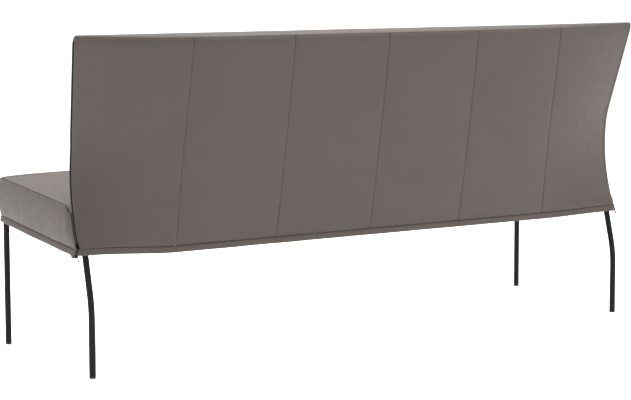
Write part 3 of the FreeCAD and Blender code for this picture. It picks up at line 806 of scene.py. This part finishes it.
def make_front_cover():
    columns = np.linspace(-1, 1, front_across_count)
    roll = np.linspace(0, 1, front_roll_count)
    crest = crest_start_z + crest_radius * np.sin(np.linspace(0, 1, crest_count) * math.pi / 2)
    ring = np.concatenate([[panel_top_z], crest[crest > panel_top_z + 2 * play]])
    rows = []
    for share in close_to_ends(front_up_count, crest_start_z - foot_z_of_front, seam_reach)[:-1]:
        rows.append(front_row(front_level(share), columns, roll))
    low_crest = [z for z in crest if z < panel_top_z]
    for z in low_crest + list(ring):
        rows.append(front_row(lambda x, share, z=z: z, columns, roll))
    front = np.array(rows)

    rear = []
    for z in ring:
        end = back_ends(z)
        left = [(*p, z) for p in rear_round(end, -1, roll)][::-1]
        right = [(*p, z) for p in rear_round(end, 1, roll)]
        middle = [(x, float(rear_sweep(x, end)), z) for x in columns[1:-1] * end["round_x"]]
        rear.append(left + middle + right)
    rear = np.array(rear)
    count = len(ring)
    tapes = []
    for column in (0, -1):
        fore = front[-count:, column]
        aft = rear[:, column]
        tapes.append(np.stack([fore, (fore + aft) / 2, aft], 1))
    across = np.linspace(0, 1, cap_count)[:, None, None]
    cap = front[-1] * (1 - across) + rear[-1] * across
    cap[..., 2] += front_cap_crown * (4 * across * (1 - across))[..., 0]

    def field(places):
        x, y, z = places.T
        on_front = smooth((z - front_crown_from_z) / front_crown_fade)
        on_front = on_front * smooth((front_crown_to_z - z) / front_crown_top_fade)
        face = y < front_y(z) + front_face_depth
        lift = front_crown * on_front * face * (1 - (x / half_length) ** 4)
        return lift + ripples(places)

    piece = skin("back_front_cover_skin", [front, rear, cap] + tapes, behind, [field])
    finish_piece(piece, "cover", ["back_front_cover"])


# Seat covers
def inside_seat(place):
    """A point inside the seat, near a place on its covers."""
    y = seat_middle.y + (place.y - seat_middle.y) * seat_middle_share[1]
    return Vector((place.x * seat_middle_share[0], y,
                   seat_middle.z - (place.y - seat_front_y) * seat_middle_fall))


def before_zip_y(z):
    """Where the seat's covers end at a height, just before the zip."""
    return zip_line_y(z) - zip_shown(z) - play


def make_seat_top_cover():
    outline = seat_outline(0.0, profile_counts)
    across = close_to_ends(seat_across_count, 2 * seat_front_half, seam_reach) * 2 - 1
    last_s = (back_front_y - seat_front_y) / tilt_cos - top_before_back
    bend_s = last_s - top_end_from
    keep = (outline[:, 1] > seat_hem_height) & (outline[:, 0] < last_s)
    half = np.array([float(seat_half(s)) for s in outline[:, 0]])
    profiles = {place: seat_outline(place * seat_front_half, profile_counts) for place in across}
    rows = []
    for index in np.flatnonzero(keep):
        row = []
        for place in across:
            s, n = profiles[place][index]
            x = place * half[index]
            further = smooth((abs(x) - top_end_start) / (seat_rear_half - top_end_start))
            s = s + top_end_reach * further * smooth((s - bend_s) / top_end_from)
            row.append(seat_points(x, s, n))
        rows.append(row)

    def field(places):
        s, n = seat_coordinates(places)
        edge = seat_half(s) - np.abs(places[:, 0])
        lift = ripples(places) * smooth(edge / seat_calm_reach)
        return lift + seam(n - seat_hem_height, crease_depth, crease_reach) * (n < seat_height / 2)

    def edge_shape(places):
        s, n = seat_coordinates(places)
        edge = seat_half(s) - np.abs(places[:, 0])
        high = smooth(n / seat_height * 2 - 1)
        moves = groove(places, edge)
        moves[:, 2] -= rear_corner_drop(places[:, 1]) * smooth(1 - edge / corner_drop_width)
        moves[:, 2] += end_droop * (1 - np.exp(-np.maximum(edge, 0) / end_droop_reach)) * high
        return moves

    piece = skin("seat_top_skin", [rows], inside_seat, [field, edge_shape])
    finish_piece(piece, "cover", ["seat_top_cover"])


def seat_side_grid(side):
    """The seat's side between its hem, its front and top edges and the zip."""
    outline = seat_outline(seat_front_half * side_edge_share, profile_counts)
    edge = outline[outline[:, 1] >= seat_hem_height]
    front_s = edge[0][0]
    lengths = np.concatenate([[0], np.cumsum(np.linalg.norm(np.diff(edge, axis=0), axis=1))])
    along = lengths / lengths[-1]
    up = close_to_ends(side_up_count, seat_height, seam_reach)
    low = seat_hem_height - tuck_under
    columns = []
    for share, (s, n) in zip(along, edge):
        foot = front_s + (seat_run - front_s) * share ** side_foot_power
        columns.append([(foot + (s - foot) * rise, low + (n - low) * rise) for rise in up])
    grid = np.array(columns)
    rear = seat_points(side * seat_half(grid[-1:, :, 0]), grid[-1:, :, 0], grid[-1:, :, 1])
    to_zip = before_zip_y(rear[..., 2]) - rear[..., 1]
    grid[..., 0] += to_zip * (along ** side_rear_power)[:, None] / tilt_cos
    return seat_points(side * seat_half(grid[..., 0]), grid[..., 0], grid[..., 1])


def side_edge_shape(places):
    """Draws a side cover's upper edge in and down before the zip, and its rear edge to the zip."""
    top = seat_height + seat_edge_crown - seat_coordinates(places)[1]
    moves = groove(places, top)
    moves[:, 2] -= rear_corner_drop(places[:, 1]) * smooth(1 - top / (seat_height - seat_hem_height))
    to_zip = before_zip_y(places[:, 2]) - places[:, 1]
    beyond = np.abs(places[:, 0]) - zip_x(places[:, 2])
    moves[:, 0] -= np.sign(places[:, 0]) * beyond * np.exp(-np.abs(to_zip) / zip_draw_reach)
    return moves


def side_field(side):
    """The crown, ripples, seams and rear fold of a side cover, deeper on the right."""
    depth = fold_depth * (1 if side > 0 else fold_left_share)

    def field(places):
        s, n = seat_coordinates(places)
        top = seat_height + seat_edge_crown - n
        low = n - seat_hem_height
        rear = before_zip_y(places[:, 2]) - places[:, 1]
        lift = side_crown * 4 * np.clip(low * top / (seat_height - seat_hem_height) ** 2, 0, 1)
        lift = lift + ripples(places) * side_ripple_share + seam(rear, seam_depth * side_seam_share)
        lift = lift + seam(low, crease_depth, crease_reach)
        lift = lift + seam(np.maximum(low + tuck_under, 0), tuck_depth, tuck_reach)
        from_fold = (s - fold_s - (n - fold_n) * fold_lean) / fold_width
        return lift - depth * np.exp(-from_fold ** 2) * smooth((n - fold_from_n) / fold_fade)
    return field


def make_seat_sides():
    for name, side in sides.items():
        piece = skin("seat_side_skin_" + name, [seat_side_grid(side)], inside_seat,
                     [side_field(side), side_edge_shape])
        finish_piece(piece, "cover", ["seat_side_cover_" + name])


def seat_hem_rows():
    """Levels of the seat's hem from its right zip round the front to its left one."""
    foot = arc_points((0, 0), (-seat_nose, seat_height * nose_height_share),
                      (-seat_nose * brow_share, seat_height - seat_nose_radius),
                      np.linspace(0, foot_arc_share, foot_count))
    crowded = np.linspace(1, 0, seat_hem_run_count) ** seat_hem_crowding
    rows = []
    for share in np.linspace(0, 1, hem_up_count):
        n = seat_hem_lift + (seat_hem_height - play - seat_hem_lift) * share
        front_s = float(np.interp(n, foot[:, 1], foot[:, 0]))
        half = float(seat_half(front_s))
        points = []
        for side in (1, -1):
            ends = []
            for place in crowded:
                s = front_s + (seat_run - front_s) * place
                x = side * float(seat_half(s))
                y, z = seat_points(x, s, n)[1:]
                excess = max(0.0, float(y - before_zip_y(z)))
                ends.append((x, y - excess, z + excess * math.tan(seat_tilt)))
            if side > 0:
                across = np.linspace(half, -half, front_across_count)[1:-1]
                points += ends + [tuple(seat_points(x, front_s, n)) for x in across]
            else:
                points += ends[::-1]
        rows.append(points)
    rows = np.array(rows)
    for _ in range(hem_corner_rounds):
        evened = rows.copy()
        evened[:, 1:-1] = (rows[:, :-2] + 2 * rows[:, 1:-1] + rows[:, 2:]) / 4
        from_corner = np.abs(rows[..., 1] - (seat_front_y - hem_corner_before))
        near_corner = smooth(1 - from_corner / hem_corner_reach)[..., None]
        near_corner = near_corner * (np.abs(rows[..., :1]) > seat_front_half - hem_corner_width)
        rows = rows + (evened - rows) * near_corner
    return rows


def make_seat_hem():
    rows = seat_hem_rows()
    corners = {1: rows[0, 0].copy(), -1: rows[0, -1].copy()}

    def lowness(places):
        n = seat_coordinates(places)[1]
        return np.clip((seat_hem_height - n) / (seat_hem_height - seat_hem_lift), 0, 1)

    def field(places):
        return hem_lie(places, lowness(places), seat_hem_height, seat_hem_flare, seat_hem_seed)

    def ears(places):
        return ear_moves(places, lowness(places), corners, seat_ear_reach, seat_tip_from_tip)

    piece = skin("seat_hem_band", [rows], inside_seat, [field, ears])
    finish_piece(piece, "cover", ["seat_hem"])


# Zips: a woven tape and a row of teeth on each half of it
def zip_station(z, name):
    """A place on the zip's path at the height z, and the path's direction there, upwards."""
    top = back_hem_z + back_hem_height + hem_lift[name] * zip_turn_share
    tip = Vector(tip_place[name])
    if z < top:
        start = Vector((float(zip_x(top)), float(zip_line_y(top)), top))
        fall = (top - z) / (top - tip.z)
        spot = Vector((start.x + (tip.x - start.x) * fall ** 2, start.y + (tip.y - start.y) * fall, z))
        return spot, Vector((2 * fall * (start.x - tip.x), start.y - tip.y, start.z - tip.z)).normalized()
    ahead = float(zip_line_y(z + slope_step))
    behind_it = float(zip_line_y(z - slope_step))
    slope = (ahead - behind_it) / (2 * slope_step)
    return Vector((float(zip_x(z)), float(zip_line_y(z)), z)), Vector((0, slope, 1)).normalized()


def tape_rows(name, side):
    """Levels of a zip's tape, whose edges sink under the covers. It is wider to the fore at the tip."""
    low = tip_place[name][2] + play
    rows = []
    for z in np.linspace(low, zip_top_z, zip_up_count):
        spot, run = zip_station(z, name)
        forward = Vector((0, -run.z, run.y)).normalized()
        shown = float(zip_shown(z))
        more = tip_tape_more * math.sin(math.pi * min(1.0, (z - low) / tip_tape_reach))
        row = []
        for share in np.linspace(-1, 1, zip_across_count):
            hidden = tape_under + more * (share > 0)
            half = shown + hidden
            under = smooth((abs(share) * half - shown + hidden) / (2 * hidden))
            edge = spot + forward * (share * half)
            row.append((side * (edge.x - play - tape_sink * float(under)), edge.y, edge.z))
        rows.append(row)
    return rows


def add_tooth(work, side, spot, run, across):
    """One tooth, a block that is narrower at its outer face."""
    corners = []
    for out, wide in ((0.0, 1.0), (1.0, tooth_tip_share)):
        for along, over in ((-1, -tooth_root_share), (-1, 1), (1, 1), (1, -tooth_root_share)):
            corner = (spot + Vector((tooth.x * out - play, 0, 0)) + across * (over * tooth.y * wide)
                      + run * (along * tooth.z / 2 * wide))
            corners.append(work.verts.new((side * corner.x, corner.y, corner.z)))
    a, b, c, d, e, f, g, h = corners
    for quad in ((a, b, c, d), (e, f, g, h), (a, b, f, e), (b, c, g, f), (c, d, h, g), (d, a, e, h)):
        work.faces.new(quad)


def make_teeth(name, side):
    """The teeth of a zip, turn about on one half and the other."""
    work = bmesh.new()
    z = tip_place[name][2] + play + tooth.z
    number = 0
    while z < zip_top_z - tooth_end:
        spot, run = zip_station(z, name)
        across = Vector((0, -run.z, run.y)).normalized() * (1 if number % 2 else -1)
        add_tooth(work, side, spot, run, across)
        z += tooth_pitch / 2 * run.z
        number += 1
    bmesh.ops.recalc_face_normals(work, faces=work.faces)
    return added("zip_teeth_" + name, mesh_of(work, "zip_teeth_" + name))


def make_zips():
    coil = zip_coil()
    for name, side in sides.items():
        tape = skin("zip_tape_" + name, [tape_rows(name, side)],
                    lambda place: Vector((place.x * tape_inside_share, place.y, place.z)),
                    thickness=tape_thickness)
        finish_piece(tape, "zip", ["zip_" + name])
        finish_piece(make_teeth(name, side), "zip", material=coil)


# Under the covers
def make_dust_cover():
    def point_at(share, place):
        s = dust_from_s + dust_run * share
        x = place * (float(seat_half(s)) - dust_from_side)
        sag = dust_sag * (1 - place ** 2) * 4 * share * (1 - share)
        return seat_points(x, s, dust_n - sag)

    grid = grid_of(point_at, np.linspace(0, 1, dust_along_count), np.linspace(-1, 1, dust_across_count))
    piece = skin("dust_cloth", [grid], lambda place: place + Vector((0, 0, inside_reach)),
                 thickness=dust_thickness)
    finish_piece(piece, "dust_cloth", ["seat_dust_cover"])
    width = 2 * float(seat_half(seat_run / 2))


def softened(node, name, slot, voxel):
    """A rounded copy of a soft solid, which stands for it under the covers."""
    source = frame["nodes"][node]
    piece = added(name, source.data.copy())
    remesh = piece.modifiers.new("even", "REMESH")
    remesh.mode = "VOXEL"
    remesh.voxel_size = voxel
    even = piece.modifiers.new("soften", "SMOOTH")
    even.factor = smooth_factor
    even.iterations = smooth_rounds
    shrink = piece.modifiers.new("shrink", "DISPLACE")
    shrink.strength = -soft_shrink
    shrink.mid_level = 0.0
    make_real(piece)
    piece.data.shade_smooth()
    finish_piece(piece, slot, [node])
    return piece


def make_straps():
    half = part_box("back_straps")[1].x

    def point_at(z, place):
        wave = strap_wave * math.cos(place * strap_waves * math.pi)
        return place * half, float(front_y(z)) + strap_behind_front + wave, z

    grids = []
    for number in range(strap_count):
        first_z = strap_first_z + strap_pitch * number
        up = np.linspace(first_z, first_z + strap_width, strap_up_count)
        grids.append(grid_of(point_at, up, np.linspace(-1, 1, strap_across_count)))
    piece = skin("back_webbing", grids, lambda place: place - Vector((0, inside_reach, 0)),
                 thickness=strap_thickness)
    finish_piece(piece, "strap", ["back_straps"])


def make_pads():
    """The soft layers right under the covers of the back's rear and of the seat's border."""
    half = min(back_ends(crest_start_z)["round_x"] - end_wrap, back_ends(back_hem_z)["round_x"])
    across = np.linspace(-1, 1, front_across_count)

    def behind_back(share, place):
        x = place * half
        low = panel_low(x) + pad_from_edge
        z = low + (panel_top_z - 2 * pad_from_edge - low) * share
        return x, float(rear_sweep(x, back_ends(z))) - pad_depth, z

    grid = grid_of(behind_back, np.linspace(0, 1, pad_up_count), across)
    piece = skin("back_wadding", [grid], behind, thickness=pad_thickness)
    finish_piece(piece, "foam", ["back_rear_padding"])

    low_n = seat_hem_height + pad_from_edge
    high_n = seat_height - seat_nose_radius

    def beside_seat(side):
        def point_at(n, share):
            start = seat_points(0.0, seat_corner_radius, n)
            last = float(before_zip_y(start[2])) - 2 * pad_from_edge
            s = seat_corner_radius + (last - start[1]) / tilt_cos * share
            return seat_points(side * (float(seat_half(s)) - pad_depth), s, n)
        return point_at

    up = np.linspace(low_n, high_n, border_up_count)
    grids = [grid_of(beside_seat(side), up, np.linspace(0, 1, pad_run_count)) for side in (-1, 1)]
    outline = seat_outline(0.0, profile_counts)
    front = outline[(outline[:, 1] > low_n) & (outline[:, 1] < high_n) & (outline[:, 0] < seat_nose_radius)]
    reach = seat_front_half - seat_corner_radius - pad_from_edge
    across = np.linspace(-reach, reach, front_across_count)
    grids.append(grid_of(lambda place, x: seat_points(x, place[0] + pad_depth, place[1]), front, across))
    piece = skin("seat_border_pad", grids, inside_seat, thickness=pad_thickness)
    finish_piece(piece, "foam", ["seat_border_padding"])


# Materials
def colour(red, green, blue):
    """A colour given as a screen shows it, as linear light."""
    channels = [value / 255 for value in (red, green, blue)]
    return tuple(c / 12.92 if c <= 0.04045 else ((c + 0.055) / 1.055) ** 2.4 for c in channels) + (1,)


class Paint:
    """A material under construction: its nodes, its shader and the place on the object."""

    def __init__(self, name, metallic=0.0, specular=0.5):
        self.material = bpy.data.materials.new(name)
        self.material.use_nodes = True
        self.nodes = self.material.node_tree.nodes
        self.links = self.material.node_tree.links
        self.shader = self.nodes["Principled BSDF"]
        self.shader.inputs["Metallic"].default_value = metallic
        self.shader.inputs["Specular IOR Level"].default_value = specular
        self.place = self.nodes.new("ShaderNodeTexCoord").outputs["Object"]

    def node(self, kind, **inputs):
        made = self.nodes.new(kind)
        for key, value in inputs.items():
            self.feed(made.inputs[key.replace("_", " ")], value)
        return made

    def feed(self, socket, value):
        if isinstance(value, bpy.types.NodeSocket):
            self.links.new(value, socket)
        else:
            socket.default_value = value

    def noise(self, scale, detail=3.0, roughness=0.5, place=None):
        made = self.node("ShaderNodeTexNoise", Scale=scale, Detail=detail, Roughness=roughness)
        self.links.new(place or self.place, made.inputs["Vector"])
        return made.outputs["Fac"]

    def cells(self, scale, feature="DISTANCE_TO_EDGE", place=None):
        made = self.node("ShaderNodeTexVoronoi", Scale=scale)
        made.feature = feature
        self.links.new(place or self.place, made.inputs["Vector"])
        return made.outputs["Distance"]

    def ramp(self, value, *shades, at=(0.3, 0.7)):
        """Turns a value into shades at shares of it: numbers, or colours as a screen shows them."""
        made = self.nodes.new("ShaderNodeValToRGB")
        self.links.new(value, made.inputs["Fac"])
        marks = made.color_ramp.elements
        while len(marks) < len(shades):
            marks.new(0.5)
        for mark, share, shade in zip(marks, at, shades):
            mark.position = share
            mark.color = colour(*shade) if isinstance(shade, tuple) else (shade, shade, shade, 1)
        return made.outputs["Color"]

    def waves(self, scale, distortion, direction):
        made = self.node("ShaderNodeTexWave", Scale=scale, Distortion=distortion)
        made.bands_direction = direction
        self.links.new(self.place, made.inputs["Vector"])
        return made.outputs["Fac"]

    def math(self, operation, first, second):
        made = self.nodes.new("ShaderNodeMath")
        made.operation = operation
        self.feed(made.inputs[0], first)
        self.feed(made.inputs[1], second)
        return made.outputs[0]

    def stretched(self, scale):
        made = self.nodes.new("ShaderNodeMapping")
        made.inputs["Scale"].default_value = scale
        self.links.new(self.place, made.inputs["Vector"])
        return made.outputs["Vector"]

    def relief(self, height, distance, strength=1.0, under=None):
        made = self.node("ShaderNodeBump", Strength=strength, Distance=distance, Height=height)
        if under is not None:
            self.links.new(under, made.inputs["Normal"])
        return made.outputs["Normal"]

    def finish(self, base, roughness, normal=None):
        self.feed(self.shader.inputs["Base Color"], base)
        self.feed(self.shader.inputs["Roughness"], roughness)
        if normal is not None:
            self.feed(self.shader.inputs["Normal"], normal)
        return self.material


def faux_leather():
    paint = Paint("taupe_faux_leather", specular=0.33)
    wide = paint.noise(7.0, 3.0)
    base = paint.ramp(wide, (68, 59.5, 55.5), (70, 61.5, 57.5))
    grain = paint.ramp(paint.cells(750.0), 0.0, 1.0, at=(0.0, 0.16))
    fine = paint.noise(2600.0, 2.0)
    height = paint.math("ADD", grain, paint.math("MULTIPLY", fine, 0.4))
    normal = paint.relief(height, 0.00012, 0.35)
    normal = paint.relief(paint.noise(60.0, 3.0), 0.0007, 0.12, under=normal)
    rough = paint.ramp(paint.noise(35.0, 4.0), 0.44, 0.54)
    return paint.finish(base, rough, normal)


def powder_coat():
    paint = Paint("black_powder_coat", specular=0.2)
    base = paint.ramp(paint.noise(20.0), (8, 8, 8), (12, 12, 12))
    normal = paint.relief(paint.noise(1400.0, 3.0), 0.00008, 0.5)
    rough = paint.ramp(paint.noise(90.0, 3.0), 0.54, 0.66)
    return paint.finish(base, rough, normal)


def pine_wood():
    paint = Paint("frame_wood")
    along = paint.stretched((2.0, 22.0, 22.0))
    rings = paint.noise(3.0, 6.0, 0.6, along)
    base = paint.ramp(rings, (196, 160, 112), (216, 184, 138), (178, 136, 88), at=(0.32, 0.52, 0.68))
    fibre = paint.noise(60.0, 2.0, 0.5, along)
    return paint.finish(base, 0.62, paint.relief(fibre, 0.0003, 0.4))


def polyurethane_foam():
    paint = Paint("upholstery_foam", specular=0.1)
    pores = paint.cells(520.0, "F1")
    base = paint.ramp(pores, (196, 184, 140), (232, 222, 184), at=(0.0, 0.5))
    return paint.finish(base, 0.95, paint.relief(pores, 0.0008, 0.7))


def spring_steel():
    paint = Paint("spring_steel", metallic=1.0)
    drawn = paint.noise(300.0, 4.0, 0.5)
    base = paint.ramp(drawn, (120, 118, 114), (158, 156, 150))
    return paint.finish(base, paint.ramp(drawn, 0.26, 0.46, at=(0.2, 0.8)),
                        paint.relief(drawn, 0.0001, 0.3))


def zinc_steel():
    paint = Paint("zinc_plated_steel", metallic=1.0)
    spangle = paint.cells(160.0, "F1")
    base = paint.ramp(spangle, (168, 170, 170), (196, 198, 196), at=(0.0, 0.7))
    return paint.finish(base, paint.ramp(paint.noise(220.0), 0.28, 0.45),
                        paint.relief(paint.noise(500.0), 0.0001, 0.25))


def needle_felt():
    paint = Paint("needle_felt")
    fibre = paint.noise(420.0, 5.0, 0.7)
    fleck = paint.cells(260.0, "F1")
    base = paint.ramp(paint.math("MULTIPLY", fibre, fleck),
                      (96, 98, 104), (150, 150, 152), at=(0.05, 0.4))
    return paint.finish(base, 0.95, paint.relief(fibre, 0.0006, 0.8))


def nonwoven():
    paint = Paint("black_nonwoven")
    dots = paint.ramp(paint.cells(420.0, "F1"), 0.0, 1.0, at=(0.25, 0.45))
    base = paint.ramp(dots, (22, 22, 23), (36, 36, 38), at=(0.0, 1.0))
    height = paint.math("ADD", dots, paint.noise(900.0, 4.0))
    return paint.finish(base, 0.85, paint.relief(height, 0.0003, 0.6))


def webbing():
    paint = Paint("elastic_webbing")
    mixed = paint.math("MULTIPLY", paint.waves(180.0, 0.6, "X"), paint.waves(90.0, 0.4, "Z"))
    base = paint.ramp(mixed, (38, 36, 34), (92, 84, 76), at=(0.1, 0.8))
    return paint.finish(base, 0.8, paint.relief(mixed, 0.0004, 0.7))


def black_plastic():
    paint = Paint("glide_plastic")
    base = paint.ramp(paint.noise(60.0), (24, 24, 25), (30, 30, 31))
    return paint.finish(base, paint.ramp(paint.noise(120.0), 0.42, 0.6),
                        paint.relief(paint.noise(1800.0), 0.00006, 0.4))


def zip_tape():
    paint = Paint("zip_tape_weave", specular=0.15)
    weave = paint.waves(520.0, 0.3, "DIAGONAL")
    base = paint.ramp(weave, (7, 6, 6), (15, 14, 14), at=(0.2, 0.8))
    return paint.finish(base, 0.82, paint.relief(weave, 0.0002, 0.6))


def zip_coil():
    paint = Paint("zip_coil_nylon", specular=0.25)
    base = paint.ramp(paint.noise(300.0), (9, 8, 8), (15, 14, 14))
    return paint.finish(base, 0.42, paint.relief(paint.noise(2200.0), 0.00005, 0.3))


def zip_lacquer():
    paint = Paint("black_lacquered_zinc", specular=0.12)
    wear = paint.ramp(paint.noise(240.0, 5.0, 0.6), 0.0, 1.0, at=(0.62, 0.72))
    base = paint.ramp(wear, (8, 7, 7), (20, 19, 18), at=(0.0, 1.0))
    return paint.finish(base, paint.ramp(paint.noise(400.0), 0.5, 0.62),
                        paint.relief(paint.noise(900.0), 0.00005, 0.3))


finishes = {
    "cover": faux_leather(), "wood": pine_wood(), "foam": polyurethane_foam(),
    "springs": spring_steel(), "fixings": zinc_steel(), "felt": needle_felt(),
    "dust_cloth": nonwoven(), "strap": webbing(), "leg": powder_coat(),
    "glide": black_plastic(), "zip": zip_tape(), "zip_metal": zip_lacquer(),
}


def dress_cad_nodes():
    """Gives every solid of the frame the material of its slot."""
    slot_of = {part["node"]: part["material_slot"] for part in frame["record"]["subparts"]}
    for name, node in frame["nodes"].items():
        node.data.materials.clear()
        node.data.materials.append(finishes[slot_of[name]])


# Floor, light and camera
def make_stage():
    bpy.ops.mesh.primitive_plane_add(size=floor_width, location=(0, 0, 0))
    floor = bpy.context.object
    floor.name = "floor"
    paint = Paint("pale_floor", specular=0.0)
    paint.shader.inputs["Emission Color"].default_value = (1, 1, 1, 1)
    paint.shader.inputs["Emission Strength"].default_value = floor_glow
    base = paint.ramp(paint.noise(1.2), 0.93, 0.95)
    floor.data.materials.append(paint.finish(base, 0.9))


def add_light(name, place, target, size, power):
    lamp = bpy.data.lights.new(name, "AREA")
    lamp.shape = "DISK"
    lamp.size = size
    lamp.energy = power
    holder = added(name, lamp)
    holder.location = place
    holder.rotation_euler = (Vector(target) - Vector(place)).to_track_quat("-Z", "Y").to_euler()


def make_lights():
    scene = bpy.context.scene
    scene.view_settings.view_transform = "Standard"
    world = bpy.data.worlds.new("white_studio")
    scene.world = world
    world.use_nodes = True
    backdrop = world.node_tree.nodes["Background"]
    backdrop.inputs["Color"].default_value = (1, 1, 1, 1)
    backdrop.inputs["Strength"].default_value = backdrop_glow
    for name, settings in lights.items():
        add_light(name, *settings)


def make_camera():
    level = math.cos(camera_pitch)
    forward = Vector((-math.sin(camera_turn) * level, -math.cos(camera_turn) * level,
                      -math.sin(camera_pitch)))
    right = Vector((-math.cos(camera_turn), math.sin(camera_turn), 0))
    down = forward.cross(right)
    image_right = right * math.cos(camera_roll) + down * math.sin(camera_roll)
    image_down = down * math.cos(camera_roll) - right * math.sin(camera_roll)
    camera = bpy.data.cameras.new("photo_camera")
    camera.sensor_width = sensor_width
    camera.lens = focal_pixels / picture_pixels[0] * camera.sensor_width
    camera.shift_x = (picture_pixels[0] / 2 - centre_pixels[0]) / picture_pixels[0]
    camera.shift_y = (centre_pixels[1] - picture_pixels[1] / 2) / picture_pixels[0]
    holder = added("photo_camera", camera)
    axes = Matrix((image_right, -image_down, -forward)).transposed()
    holder.matrix_world = Matrix.Translation(camera_place) @ axes.to_4x4()
    bpy.context.scene.camera = holder


dress_cad_nodes()
make_rear_panels()
make_rear_hem()
make_front_cover()
make_seat_top_cover()
make_seat_sides()
make_seat_hem()
make_zips()
make_dust_cover()
make_straps()
softened("seat_foam", "seat_foam_block", "foam", seat_foam_voxel)
softened("back_foam", "back_foam_sheet", "foam", back_foam_voxel)
make_pads()
softened("seat_felt", "spring_felt", "felt", felt_voxel)
make_stage()
make_lights()
make_camera()
